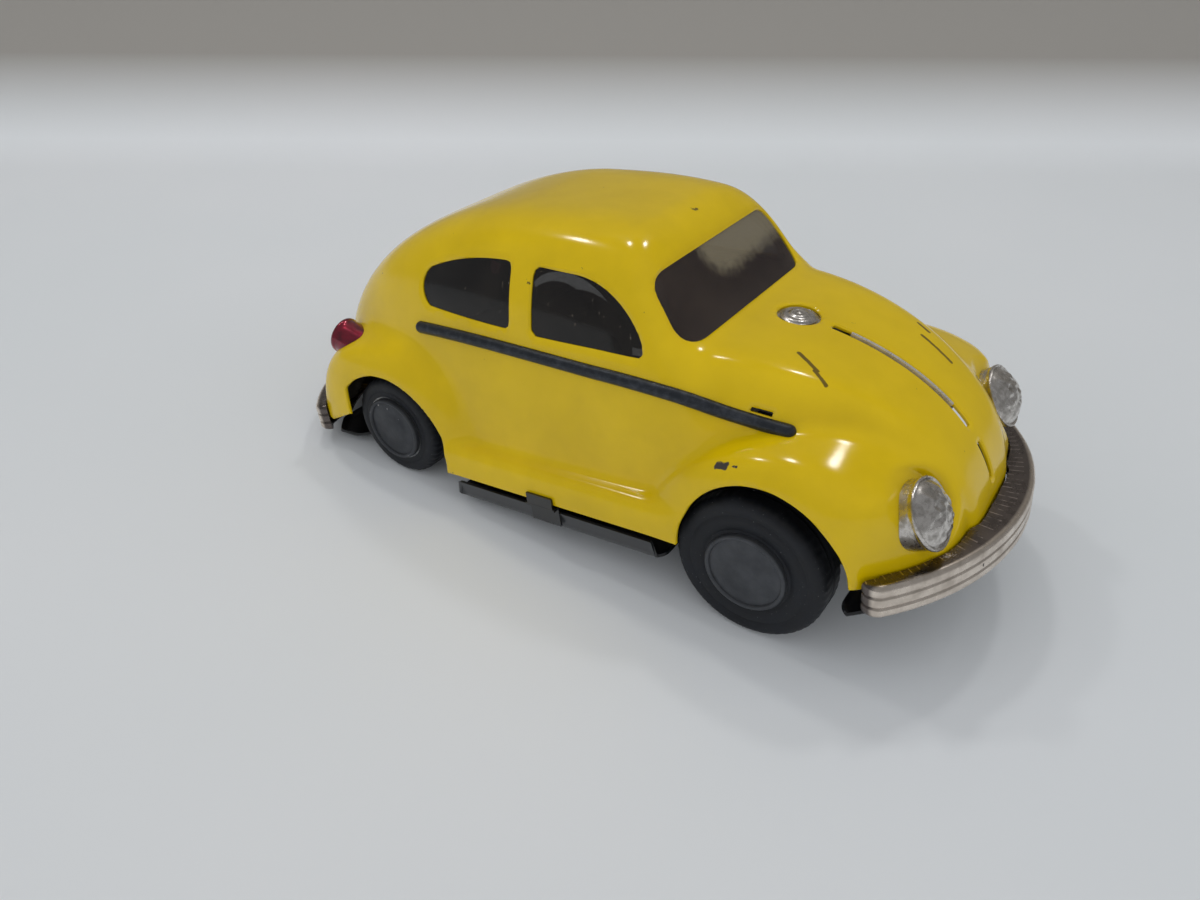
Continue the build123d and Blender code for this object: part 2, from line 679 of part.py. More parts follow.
def make_drum(at, side, width):
    """Pressed wheel drum: rim, web and hub."""
    inner, outer = tyre_face - width, tyre_face
    web = (inner + outer) / 2
    points = [(inner, rim_radius), (outer, rim_radius), (outer, rim_radius - drum_wall),
              (web + drum_wall, rim_radius - drum_wall), (web + drum_wall, hub_radius),
              (web + 2.2, hub_radius), (web + 2.2, axle_radius), (inner - 1.5, axle_radius),
              (inner - 1.5, hub_radius), (web, hub_radius), (web, rim_radius - drum_wall),
              (inner, rim_radius - drum_wall)]
    return lathe(points, at, side)


def make_cap(at, side):
    """Hub cap: a shallow dished disc with a beaded rim and a lip inside the drum."""
    face = tyre_face
    edge = rim_radius + cap_overlap
    lip = rim_radius - drum_wall - running_clearance
    points = [(face, lip), (face, edge), (face + 0.5 * cap_depth, edge), (face + cap_depth, edge - 0.5),
              (face + cap_depth, edge - 0.9), (face + 0.75 * cap_depth, edge - 1.4),
              (face + cap_depth, 2.0), (face + 0.85 * cap_depth, 0), (face + 0.3 * cap_depth, 0),
              (face + 0.3 * cap_depth, lip - 0.5), (face - 1.2, lip - 0.5), (face - 1.2, lip)]
    return lathe(points, at, side)


def make_axle(at, half_length, radius):
    """Steel wire axle or arbor, chamfered at both ends."""
    rod = chamfer(Cylinder(radius, 2 * half_length).edges().filter_by(GeomType.CIRCLE), 0.25 * radius)
    return Pos(at[0], 0, at[1]) * Rot(90, 0, 0) * rod


# ---------------------------------------------------------------- friction drive
def involute(base_radius, radius):
    """Angle of the involute of a base circle where it meets a radius."""
    spread = math.sqrt(max((radius / base_radius) ** 2 - 1, 0))
    return spread - math.atan(spread)


def gear_outline(teeth):
    """Involute spur gear outline with one tooth pointing along x."""
    pitch = gear_module * teeth / 2
    base = pitch * math.cos(math.radians(pressure_angle))
    tip, root = pitch + tooth_tip * gear_module, pitch - tooth_root * gear_module
    half_tooth = math.pi / (2 * teeth) - gear_backlash / (2 * pitch) + involute(base, pitch)
    start = max(base, root)
    flank = [start + (tip - start) * step / 3 for step in range(4)]
    one_side = [(root, half_tooth + 0.25 * (math.pi / teeth - half_tooth))]
    one_side += [(radius, half_tooth - involute(base, radius)) for radius in flank]
    points = []
    for tooth in range(teeth):
        middle = 2 * math.pi * tooth / teeth
        for radius, angle in one_side:
            points.append((radius, middle - angle))
        for radius, angle in reversed(one_side):
            points.append((radius, middle + angle))
    return make_face(Polyline(*[(r * math.cos(a), r * math.sin(a)) for r, a in points], close=True))


def make_gear(at, teeth, bore, across, thickness, turn):
    """A spur gear on an axle: drawn in side view, turned about y by an angle."""
    outline = Rot(0, 0, turn) * (gear_outline(teeth) - Circle(bore))
    solid = extrude(Plane.XZ * outline, amount=thickness / 2, both=True)
    return Pos(at[0], across, at[1]) * solid


def mesh_turns():
    """Turns of the four gears, in degrees in side view, that put their teeth in mesh."""
    idler_pinion = idler_angle + 180 + 180 / pinion_teeth
    flywheel_pinion = flywheel_angle + 180 + 180 / pinion_teeth
    return idler_angle, idler_pinion, flywheel_angle, flywheel_pinion


rivet_places = [
    (rear_axle_x - 11.5, rear_axle_height - 1.0),
    (rear_axle_x + 4.5, rear_axle_height + 14.0),
    (flywheel_at[0] + 9.0, flywheel_at[1] + 1.5),
]


def make_plate(side):
    """One side plate of the drive, with its two feet on the tray."""
    spots = [(place, plate_margin) for place in (rear_axle_at, idler_at, flywheel_at)]
    spots += [(place, rivet_radius + rivet_margin) for place in rivet_places]
    rims = ShapeList()
    for place, radius in spots:
        rims += (Pos(*place) * Circle(radius)).edges()
    outline = make_hull(rims)
    rear_floor = tray_underside + tray_kick + tray_wall
    front_floor = tray_underside + tray_wall
    legs = [(rear_axle_at[0], rear_axle_at[1], rear_floor),
            (rivet_places[2][0], rivet_places[2][1], front_floor)]
    feet = []
    for x, z, floor in legs:
        outline = outline + Pos(x, (z + floor) / 2) * Rectangle(foot_length, z - floor)
        foot = Box(foot_length, foot_reach, plate_wall)
        feet.append(Pos(x, side * (plate_inner + foot_reach / 2), floor + plate_wall / 2) * foot)
    holes = [(place, arbor_radius + running_clearance) for place in (idler_at, flywheel_at)]
    holes += [(rear_axle_at, axle_radius + running_clearance)]
    holes += [(place, rivet_radius) for place in rivet_places]
    for place, radius in holes:
        outline = outline - Pos(*place) * Circle(radius)
    plate = extrude(Plane.XZ.offset(-side * plate_inner) * outline, amount=-side * plate_wall)
    return plate + feet


def make_rivets():
    """Three shouldered rivets that hold the plates apart, their ends flush outside."""
    rivets = []
    for x, z in rivet_places:
        pin = Cylinder(rivet_radius, 2 * (plate_inner + plate_wall))
        sleeve = Cylinder(rivet_radius + 0.7, 2 * plate_inner)
        rivets.append(Pos(x, 0, z) * Rot(90, 0, 0) * (pin + sleeve))
    return Compound(rivets)


def make_flywheel(side):
    """Heavy cast disc with a recessed face and a boss."""
    near = plate_inner + plate_wall + flywheel_gap
    far = near + flywheel_thickness
    rim = flywheel_radius
    points = [(near, arbor_radius), (near, rim - 0.5), (near + 0.5, rim), (far - 0.5, rim),
              (far, rim - 0.5), (far, rim - 3.0), (far - 1.2, rim - 3.6), (far - 1.2, 3.6),
              (far, 3.0), (far, arbor_radius)]
    return lathe(points, flywheel_at, side)


# ---------------------------------------------------------------- the whole car
def build_parts():
    """Every piece by its name, in the car's own frame."""
    names = {-1: "right", 1: "left"}
    parts = {
        "body_shell": make_shell(),
        "windscreen": pane(screen_prism(pane_overlap, 6.0)),
        "rear_glazing": pane(back_window_prism(pane_overlap)),
        "hood_strip": make_strip(),
        "hood_badge": make_badge(),
        "front_bumper": make_bumper(1),
        "rear_bumper": make_bumper(-1),
        "chassis": make_chassis(),
        "drive_rivets": make_rivets(),
    }
    turn_wheel, turn_idler_pinion, turn_idler, turn_flywheel = mesh_turns()
    parts["axle_gear"] = make_gear(rear_axle_at, wheel_teeth, axle_radius, first_mesh_across,
                                   gear_thickness, turn_wheel)
    parts["idler_pinion"] = make_gear(idler_at, pinion_teeth, arbor_radius, first_mesh_across,
                                      pinion_thickness, turn_idler_pinion)
    parts["idler_gear"] = make_gear(idler_at, wheel_teeth, arbor_radius, second_mesh_across,
                                    gear_thickness, turn_idler)
    parts["flywheel_pinion"] = make_gear(flywheel_at, pinion_teeth, arbor_radius,
                                         second_mesh_across, pinion_thickness, turn_flywheel)
    plate_outside = plate_inner + plate_wall
    parts["front_axle"] = make_axle(front_axle_at, tyre_face - 0.6, axle_radius)
    parts["rear_axle"] = make_axle(rear_axle_at, tyre_face - 0.6, axle_radius)
    parts["idler_arbor"] = make_axle(idler_at, plate_outside, arbor_radius)
    parts["flywheel_arbor"] = make_axle(flywheel_at, plate_outside + flywheel_gap
                                        + flywheel_thickness + 0.4, arbor_radius)
    for side, name in names.items():
        parts[f"side_glazing_{name}"] = side_pane(side)
        parts[f"side_trim_{name}"] = make_side_trim(side)
        parts[f"headlamp_{name}"] = lamp(lamp_frame(side, 1), headlamp_radius, headlamp_barrel,
                                         headlamp_dome, proud_skin)
        parts[f"tail_lamp_{name}"] = lamp(lamp_frame(side, -1), tail_lamp_radius,
                                          tail_lamp_length - 1.0, 1.0, proud_skin)
        parts[f"drive_plate_{name}"] = make_plate(side)
        parts[f"flywheel_{name}"] = make_flywheel(side)
        ends = (("front", front_axle_at, front_tyre_radius, front_tyre_width),
                ("rear", rear_axle_at, rear_tyre_radius, rear_tyre_width))
        for end, at, radius, width in ends:
            parts[f"{end}_tyre_{name}"] = make_tyre(at, side, radius, width)
            parts[f"{end}_wheel_{name}"] = make_drum(at, side, width)
            parts[f"{end}_hub_cap_{name}"] = make_cap(at, side)
    return parts


def standing_pitch():
    """Degrees by which the nose rises when all four tyres stand on the floor."""
    rise = front_axle_height - rear_axle_height
    reach = math.hypot(wheelbase, rise)
    tyres = math.asin((front_tyre_radius - rear_tyre_radius) / reach)
    return math.degrees(tyres - math.atan2(rise, wheelbase))


def main():
    """Builds the car, stands it on the floor and writes one file for each piece."""
    parts = build_parts()
    pitch = standing_pitch()
    tipped = {name: Rot(0, -pitch, 0) * solid for name, solid in parts.items()}
    box = Compound([*tipped.values()]).bounding_box()
    lift = Pos(-(box.min.X + box.max.X) / 2, 0, -box.min.Z)
    os.makedirs("parts", exist_ok=True)
    for name, solid in tipped.items():
        export_step(lift * solid, f"parts/{name}.step")
    print(f"pitch {pitch:.4f} degrees")
    for name, at in (("front axle", front_axle_at), ("rear axle", rear_axle_at),
                     ("idler", idler_at), ("flywheel", flywheel_at)):
        spot = (lift * Rot(0, -pitch, 0) * Pos(at[0], 0, at[1])).position
        print(f"{name} at x {spot.X:.3f} z {spot.Z:.3f}")


main()
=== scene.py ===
"""The looks of a friction-drive tin saloon car: glossy yellow enamel over a drawn tin shell."""
import json
import math
import bpy
import mathutils
import numpy as np
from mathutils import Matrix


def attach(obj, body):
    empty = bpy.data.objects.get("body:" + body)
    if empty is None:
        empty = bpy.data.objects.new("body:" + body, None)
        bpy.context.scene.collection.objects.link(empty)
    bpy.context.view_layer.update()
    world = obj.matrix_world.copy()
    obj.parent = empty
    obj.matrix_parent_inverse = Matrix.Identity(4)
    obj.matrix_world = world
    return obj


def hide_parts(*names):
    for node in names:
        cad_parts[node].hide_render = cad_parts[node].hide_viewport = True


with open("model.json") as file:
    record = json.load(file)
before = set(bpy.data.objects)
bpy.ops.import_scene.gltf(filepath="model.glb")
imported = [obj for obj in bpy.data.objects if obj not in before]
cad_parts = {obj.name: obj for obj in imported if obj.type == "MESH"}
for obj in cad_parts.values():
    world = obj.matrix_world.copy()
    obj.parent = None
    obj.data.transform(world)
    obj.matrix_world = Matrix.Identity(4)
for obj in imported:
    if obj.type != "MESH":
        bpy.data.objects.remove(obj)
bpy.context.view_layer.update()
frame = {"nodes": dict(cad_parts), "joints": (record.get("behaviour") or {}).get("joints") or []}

# ================================================================ the car's own frame
# Shapes are worked out in millimetres in the car's own frame: x forward from midway
# between the axles, y to the left, z up from the shell's lower edge.  The standing car has
# its nose raised, so every point is tipped and moved onto the two axles of the frame.
front_axle = (41.0, -3.2)
rear_axle = (-41.0, 5.6)
joint_at = {joint["name"]: joint["pos_m"] for joint in frame["joints"]}
axle_line = np.subtract(joint_at["front_axle_spin"], joint_at["rear_axle_spin"])
pitch = math.atan2(axle_line[2], axle_line[0]) - math.atan2(
    front_axle[1] - rear_axle[1], front_axle[0] - rear_axle[0])
seat_x = joint_at["front_axle_spin"][0] * 1000 - (
    front_axle[0] * math.cos(pitch) - front_axle[1] * math.sin(pitch))
seat_z = joint_at["front_axle_spin"][2] * 1000 - (
    front_axle[0] * math.sin(pitch) + front_axle[1] * math.cos(pitch))


def stand(points):
    """Car-frame points in mm, tipped by the pitch and moved, in metres."""
    x, y, z = np.moveaxis(np.asarray(points, float), -1, 0)
    return np.stack([x * math.cos(pitch) - z * math.sin(pitch) + seat_x, y,
                     x * math.sin(pitch) + z * math.cos(pitch) + seat_z], -1) / 1000


def surface(name, points, faces, finish):
    """An object with one smooth mesh, from points in metres and triangles."""
    mesh = bpy.data.meshes.new(name)
    mesh.from_pydata(points.tolist(), [], faces.tolist())
    mesh.shade_smooth()
    mesh.materials.append(finish.material)
    made = bpy.data.objects.new(name, mesh)
    bpy.context.scene.collection.objects.link(made)
    return made


def piece(name, points, faces, body, slot, finish, node, sharp=35.0):
    """A piece from car-frame points, smooth but for edges above an angle in degrees."""
    made = surface(name, stand(points), faces, finish)
    made.data.set_sharp_from_angle(angle=math.radians(sharp))
    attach(made, body)
    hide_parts(node)
    return made


# ================================================================ pressed tin body
# The body is one deep-drawn sheet of tinplate: roof, bonnet, wings and sills in one
# pressing, sprayed and baked.  Windows, arches, the bonnet slot and the badge hole
# are punched through it, so their edges are plain cut sheet with a slightly drawn lip.
sheet_wall, drawn_lip = 0.4, 0.5
roof_peak, roof_reach, tail_x, tail_taper = -11.0, 66.4, -70.6, 0.06
cabin_half_width, roof_height = 29.2, 49.9
front_powers, back_powers = (2.7, 5.4, 2.27), (1.8, 5.4, 2.27)
screen_foot, screen_rise, screen_lean = (27.3, 30.5), 6.5, math.radians(28.07)
screen_middle = (screen_foot[0] - screen_rise * math.tan(screen_lean), screen_foot[1] + screen_rise)
bonnet_start, nose_x, bonnet_height, bonnet_powers = 20.0, 72.2, 31.7, (2.27, 12, 2.02)
bonnet_half_width, bonnet_taper, bonnet_back = 28.3, 14.0, 14
front_wing = dict(centre=(45.9, 20, 0), reach=(25.0, 13.6, 21.1), powers=(2.0, 8, 2.1))
rear_wing = dict(centre=(-42.4, 19, 0), reach=(22.2, 14.5, 24.8), powers=(2.6, 8, 2.6))
front_fall, rear_fall = 0.21, 0.12   # how fast each wing's height falls towards its side
sill = dict(centre=(0, 0, 0), reach=(47, 33.0, 6.8), powers=(8, 24, 4))
bumper_centre, bow_radius = 33.6, 40.5
wide_fillet, bow_fillet, seat_fillet, tight_fillet = 4.0, 2.0, 2.2, 1.7
lamp_pitch, lamp_toe = math.radians(25), math.radians(1)
seat_at, seat_radius = (65.8, 20.5, 9.7), 6.6
seat_out = (math.cos(lamp_pitch) * math.cos(lamp_toe), math.cos(lamp_pitch) * math.sin(lamp_toe),
            math.sin(lamp_pitch))


def oval(x, y, z, centre, reach, powers):
    """Sum of |distance / half size| to a power along each axis, less one, over its own
    slope: below zero inside, and close to true millimetres near the surface."""
    shares = [np.abs(v - c) / r for v, c, r in zip((x, y, z), centre, reach)]
    total = np.maximum(sum(s ** p for s, p in zip(shares, powers)), 1e-9)
    power = sum(powers) / 3
    steep = sum((p * s ** (p - 1) / r) ** 2 for s, p, r in zip(shares, powers, reach))
    slope = total ** (1 / power - 1) / power * np.sqrt(steep)
    return (total ** (1 / power) - 1) / np.maximum(slope, 0.01)


def melt(a, b, width):
    """The lower of two forms, with a hollow fillet where they are nearly equal."""
    share = np.clip(0.5 + 0.5 * (b - a) / width, 0, 1)
    return b * (1 - share) + a * share - width * share * (1 - share)


def cabin_form(x, y, z):
    """Roof and doors: an oval that narrows towards the tail, cut by the screen's plane."""
    behind = np.clip((roof_peak - x) / (roof_peak - tail_x), 0, 1.2)
    half_width = cabin_half_width * (1 - tail_taper * behind ** 2)
    front, back = (oval(x, y, z, (roof_peak, 0, 0), (reach, half_width, roof_height), powers)
                   for reach, powers in ((roof_reach, front_powers),
                                         (roof_peak - tail_x, back_powers)))
    screen = (x - screen_foot[0]) * math.cos(screen_lean) + (
        z - screen_foot[1]) * math.sin(screen_lean)
    return -melt(-np.where(x > roof_peak, front, back), -screen, wide_fillet)


def bonnet_form(x, y, z):
    """Bonnet and nose: an oval whose width shrinks towards the nose by a power law."""
    along = np.clip((x - bonnet_start) / (nose_x - bonnet_start), 0, 1.2)
    half_width = (bonnet_half_width - bonnet_taper * along ** 1.5) * (
        0.9 + 0.1 * np.clip(z / 20, 0, 1))
    reach = np.where(x > bonnet_start, nose_x - bonnet_start, bonnet_back)
    return oval(x, y, z, (bonnet_start, 0, 0), (reach, half_width, bonnet_height), bonnet_powers)


def wing_form(x, y, z, fall, wing):
    """An oval whose height falls by a share of the way from its middle to the side."""
    return oval(x, y, z + fall * (y - wing["centre"][1]), **wing)


def lamp_seat(x, y, z):
    """Below zero in a round flat-bottomed pocket that the headlamp sits in."""
    (at_x, at_y, at_z), (out_x, out_y, out_z) = seat_at, seat_out
    dx, dy, dz = x - at_x, y - at_y, z - at_z
    out = dx * out_x + dy * out_y + dz * out_z
    away = np.sqrt(np.maximum(dx * dx + dy * dy + dz * dz - out * out, 0))
    return np.maximum(away - seat_radius, -out)


def body_form(x, y, z):
    """Cabin melted with the bonnet, the four wings and the sill, then cut back by the
    bumper's bow and the headlamps' seats; y is mirrored."""
    y, z = np.abs(y), np.maximum(z, 0)
    form = melt(cabin_form(x, y, z), bonnet_form(x, y, z), wide_fillet)
    form = melt(form, wing_form(x, y, z, front_fall, front_wing), tight_fillet)
    bow = np.hypot(x - bumper_centre, y) - bow_radius
    form = np.where(x > front_axle[0], -melt(-form, -bow, bow_fillet), form)
    form = melt(form, wing_form(x, y, z, rear_fall, rear_wing), wide_fillet)
    form = melt(form, oval(x, y, z, **sill), tight_fillet)
    return -melt(-form, lamp_seat(x, y, z), seat_fillet)


def unit(vectors):
    """Vectors scaled to length one."""
    return vectors / np.linalg.norm(vectors, axis=-1, keepdims=True)


def normals_of(points, step=0.05):
    """Unit gradient of the body form, from its change over a small step each way."""
    x, y, z = np.moveaxis(points, -1, 0)
    return unit(np.stack([body_form(x + step, y, z) - body_form(x - step, y, z),
                          body_form(x, y + step, z) - body_form(x, y - step, z),
                          body_form(x, y, z + step) - body_form(x, y, z - step)], -1))


def reach_along(start, direction, nearest=2.0, furthest=97.0, halvings=34):
    """Distance from inside the body to its skin along rays, by halving a range."""
    near = np.full(np.broadcast(*start, *direction).shape, nearest)
    far = near + (furthest - nearest)
    for _ in range(halvings):
        middle = (near + far) / 2
        inside = body_form(*[s + middle * d for s, d in zip(start, direction)]) < 0
        near, far = np.where(inside, middle, near), np.where(inside, far, middle)
    return near


def skin_grid(fan=72, middle=132, across=188, spine=-6.0, widest=83):
    """Points where rays from a low spine meet the form: fans round both axle lines and
    parallel rays between them, each swept to a widest angle on both sides."""
    low, high = rear_axle[0], front_axle[0]
    swing = np.radians(np.linspace(0, 90, fan, endpoint=False))
    turn = np.concatenate([np.pi - swing, np.full(middle, np.pi / 2), swing[::-1]])[:, None]
    along = np.concatenate([np.full(fan, low), np.linspace(low, high, middle),
                            np.full(fan, high)])[:, None]
    spread = np.linspace(-1, 1, across)
    side = np.radians(widest * (0.82 * spread + 0.18 * spread ** 3))[None, :]
    direction = (np.cos(turn) * np.cos(side), np.sin(side) + 0 * turn,
                 np.sin(turn) * np.cos(side))
    length = reach_along((along, 0.0, spine), direction)
    return np.stack([along + length * direction[0], length * direction[1],
                     spine + length * direction[2]], -1)


def grid_faces(rows, columns):
    """Two triangles for each cell of a grid of points."""
    index = np.arange(rows * columns).reshape(rows, columns)
    a, b, c, d = (index[:-1, :-1], index[:-1, 1:], index[1:, 1:], index[1:, :-1])
    return np.concatenate([np.stack([a, b, c], -1).reshape(-1, 3),
                           np.stack([a, c, d], -1).reshape(-1, 3)])


def polygon_distance(px, py, corners):
    """Signed distance to a closed outline, positive outside."""
    best = np.full(px.shape, np.inf)
    inside = np.zeros(px.shape, bool)
    for (ax, ay), (bx, by) in zip(corners, np.roll(corners, -1, 0)):
        ex, ey = bx - ax, by - ay
        share = np.clip(((px - ax) * ex + (py - ay) * ey) / (ex * ex + ey * ey + 1e-12), 0, 1)
        best = np.minimum(best, np.hypot(px - ax - share * ex, py - ay - share * ey))
        if abs(ey) > 1e-12:
            inside ^= ((ay > py) != (by > py)) & (px < ax + (py - ay) / ey * ex)
    return np.where(inside, -best, best)


def rounded(corners, radius, steps):
    """A polygon whose corners are bent from edge to edge by quadratic curves."""
    share = np.linspace(0, 1, steps)[:, None]
    bends = []
    for corner, back, ahead in zip(corners, np.roll(corners, 1, 0), np.roll(corners, -1, 0)):
        to_back, to_ahead = unit(back - corner), unit(ahead - corner)
        half = math.acos(np.clip(np.dot(to_back, to_ahead), -1, 1)) / 2
        run = min(radius / math.tan(half), 0.49 * math.dist(back, corner),
                  0.49 * math.dist(ahead, corner))
        bends.append((1 - share) ** 2 * (corner + to_back * run)
                     + 2 * share * (1 - share) * corner + share ** 2 * (corner + to_ahead * run))
    return np.concatenate(bends)


def arc_through(first, middle, last, steps=12):
    """Points of the circle arc through three points, the last one left out.  The centre is
    as far from the first as from each of the others."""
    a, b, c = np.array([first, middle, last])
    centre = np.linalg.solve(2 * np.array([b - a, c - a]), [b @ b - a @ a, c @ c - a @ a])
    start, mid, end = (math.atan2(*(point - centre)[::-1]) for point in (a, b, c))
    forward = (end - start) % (2 * math.pi)
    sweep = forward if (mid - start) % (2 * math.pi) < forward else forward - 2 * math.pi
    angles = start + sweep * np.linspace(0, 1, steps, endpoint=False)
    return centre + math.dist(a, centre) * np.stack([np.cos(angles), np.sin(angles)], -1)


# The side windows are outlined in side view, and the windscreen in its own plane.
front_glass = np.concatenate([
    [(-1.9, 32.4), (-1.9, 42.0), (-1.4, 42.8), (-0.7, 43.0), (7.4, 42.4)],
    arc_through((7.4, 42.4), (16.1, 38.8), (21.4, 31.4)),
    [(21.2, 30.9), (20.4, 30.65), (-0.9, 31.4)],
])
rear_glass = np.concatenate([
    [(-7.9, 31.85), (-7.1, 32.3), (-6.9, 33.0), (-6.9, 42.2), (-7.3, 43.1), (-8.1, 43.4)],
    arc_through((-8.1, 43.4), (-18.5, 42.7), (-27.0, 40.5)),
    arc_through((-27.0, 40.5), (-30.0, 36.9), (-27.0, 32.8)),
])
screen_glass = rounded(np.array([(-22.2, -6.46), (22.2, -6.46), (20.6, 6.46), (-20.6, 6.46)]),
                       4.5, 9)
back_glass = (37.0, 10.0, 4.25)        # height of its middle, half width, half height
front_arch, rear_arch = (44.2, 0.0, 15.0), (-40.6, 2.4, 15.9)     # x, z and radius
rear_arch_back = -51.6
tail_edge, tail_slope, tail_from = 4.2, 0.45, -60
badge_x, badge_hole = 36.9, 3.8
bonnet_slot, nose_slot = (43.0, 66.9, 0.75), (5.8, 12.2, 0.75)    # both ends, half width
tab_slit_x, tab_slit_z, tab_slit_fall, tab_slit_half = 40.6, 23.2, 0.24, (1.8, 0.42)

# A ray to one side of the car must not be cut by an opening on another, so each opening
# is sought only past these places; anywhere else it counts as far away.
window_side, screen_from, screen_above, back_before, arch_side = 17, 10, 27, -30, 12.8
slot_above, nose_from, badge_above, slit_side, slit_from = 12, 60, 20, 12, 30
far_away = 99


def slab(px, py, half_x, half_y):
    """Signed distance to a rectangle round the origin, positive outside."""
    qx, qy = np.abs(px) - half_x, np.abs(py) - half_y
    return np.hypot(np.maximum(qx, 0), np.maximum(qy, 0)) + np.minimum(np.maximum(qx, qy), 0)


def slot_distance(along, across, slot):
    """Distance from a slot that runs from one place to another, with a half width."""
    low, high, half_width = slot
    return slab(along - (low + high) / 2, across, (high - low) / 2, half_width)


def side_opening(points, side=0):
    """Distance from both side windows, on one side of the car or on both."""
    x, y, z = np.moveaxis(points, -1, 0)
    distance = np.minimum(polygon_distance(x, z, front_glass), polygon_distance(x, z, rear_glass))
    return np.where((side * y if side else np.abs(y)) > window_side, distance, far_away)


def screen_opening(points):
    """Distance from the windscreen, measured across the car and up the screen's slope."""
    x, y, z = np.moveaxis(points, -1, 0)
    up = (z - screen_middle[1]) * math.cos(screen_lean) - (
        x - screen_middle[0]) * math.sin(screen_lean)
    return np.where((x > screen_from) & (z > screen_above), polygon_distance(y, up, screen_glass),
                    far_away)


def back_opening(points):
    """Distance from the oval rear window."""
    x, y, z = np.moveaxis(points, -1, 0)
    height, half_width, half_height = back_glass
    away = (np.hypot(y / half_width, (z - height) / half_height) - 1) * half_height
    return np.where(x < back_before, away, far_away)


def shell_keep(points):
    """Distance from the nearest opening or lower edge, below zero where metal is cut out."""
    x, y, z = np.moveaxis(points, -1, 0)
    tail = z - tail_edge - tail_slope * np.maximum(x - tail_from, 0)
    slit = slab(x - tab_slit_x, z - tab_slit_z - tab_slit_fall * (tab_slit_x - x), *tab_slit_half)
    keep = [np.where(x < rear_arch_back, tail, z),
            side_opening(points), screen_opening(points), back_opening(points),
            np.where(z > slot_above, slot_distance(x, y, bonnet_slot), far_away),
            np.where(x > nose_from, slot_distance(z, y, nose_slot), far_away),
            np.where(z > badge_above, np.hypot(x - badge_x, y) - badge_hole, far_away),
            np.where((np.abs(y) > slit_side) & (x > slit_from), slit, far_away)]
    for centre_x, centre_z, radius in (front_arch, rear_arch):
        arch = np.maximum(np.hypot(x - centre_x, z - centre_z) - radius, rear_arch_back - x)
        keep.append(np.where(np.abs(y) > arch_side, arch, far_away))
    return np.minimum.reduce(keep)


def cut_away(points, faces, keep):
    """Triangles cut along the line where a distance is zero, and the part above it kept.
    Each crossing edge gets one new point, shared by the triangles on both of its sides."""
    above = keep[faces] > 0
    count = above.sum(1)
    crossing = (count == 1) | (count == 2)
    few, cut = count[crossing], faces[crossing]
    odd = np.where(few == 1, above[crossing].argmax(1), above[crossing].argmin(1))
    cut = np.take_along_axis(cut, (odd[:, None] + np.arange(3)) % 3, 1)
    pairs = np.sort(np.concatenate([cut[:, [0, 1]], cut[:, [0, 2]]]), 1)
    edges, which = np.unique(pairs, axis=0, return_inverse=True)
    which = which.reshape(2, -1) + len(points)
    low, high = keep[edges[:, 0]], keep[edges[:, 1]]
    share = (low / (low - high))[:, None]
    added = points[edges[:, 0]] * (1 - share) + points[edges[:, 1]] * share
    one, two = few == 1, few == 2
    faces = np.concatenate([
        faces[count == 3],
        np.stack([cut[one, 0], which[0, one], which[1, one]], -1),
        np.stack([which[0, two], cut[two, 1], cut[two, 2]], -1),
        np.stack([which[0, two], cut[two, 2], which[1, two]], -1),
    ])
    used, faces = np.unique(faces, return_inverse=True)
    return np.concatenate([points, added])[used], faces.reshape(-1, 3)


def walled(points, faces, normals, wall):
    """Both sides of a sheet and the strip that closes its cut edges."""
    count = len(points)
    sides = np.concatenate([faces[:, [0, 1]], faces[:, [1, 2]], faces[:, [2, 0]]])
    _, first, times = np.unique(np.sort(sides, 1), axis=0, return_index=True, return_counts=True)
    rim = sides[first[times == 1]]
    strip = np.concatenate([
        np.stack([rim[:, 1], rim[:, 0], rim[:, 0] + count], -1),
        np.stack([rim[:, 1], rim[:, 0] + count, rim[:, 1] + count], -1),
    ])
    points = np.concatenate([points, points - normals * wall])
    return points, np.concatenate([faces, faces[:, ::-1] + count, strip])


def sheet_from_skin(keep, depth, wall, lip=0.0):
    """A sheet that follows the skin at a depth, cut by a distance.  A lip turns in along
    its edges by a quarter circle."""
    points, faces = cut_away(skin_points, skin_faces, keep(skin_points))
    normals = normals_of(points)
    if lip:
        near = np.clip(1 - keep(points) / lip, 0, 1)
        depth = (depth + 0.6 * lip * (1 - np.sqrt(1 - near ** 2)))[:, None]
    return walled(points - normals * depth, faces, normals, wall)


def linear(hex_colour):
    """An sRGB hex colour as linear red, green, blue and alpha."""
    parts = [int(hex_colour[i:i + 2], 16) / 255 for i in (1, 3, 5)]
    return [c / 12.92 if c <= 0.04045 else ((c + 0.055) / 1.055) ** 2.4 for c in parts] + [1.0]


def add_node(tree, kind, inputs=None, **settings):
    """A shader node with its settings; inputs are values, or sockets to link."""
    node = tree.nodes.new(kind)
    for name, value in settings.items():
        setattr(node, name, value)
    for name, value in (inputs or {}).items():
        socket = node.inputs[name]
        if isinstance(value, bpy.types.NodeSocket):
            tree.links.new(value, socket)
        else:
            socket.default_value = value
    return node


class Finish:
    """A material with its node tree, its Principled shader and its Object coordinates."""

    def __init__(self, name, **values):
        self.material = bpy.data.materials.new(name)
        self.material.use_nodes = True
        self.tree = self.material.node_tree
        self.shader = self.tree.nodes["Principled BSDF"]
        for socket, value in values.items():
            self.shader.inputs[socket.replace("_", " ")].default_value = value
        self.where = add_node(self.tree, "ShaderNodeTexCoord").outputs["Object"]


def speckle(finish, scale, low, high, detail=3.0, rough=0.6, most=1.0, where=None):
    """A mask from nothing to its most: noise cut off between two levels.  The scale is in
    cells to the metre."""
    noise = add_node(finish.tree, "ShaderNodeTexNoise", {
        "Vector": finish.where if where is None else where,
        "Scale": scale, "Detail": detail, "Roughness": rough})
    return add_node(finish.tree, "ShaderNodeMapRange", {
        "Value": noise.outputs["Fac"], "From Min": low, "From Max": high,
        "To Max": most}).outputs["Result"]


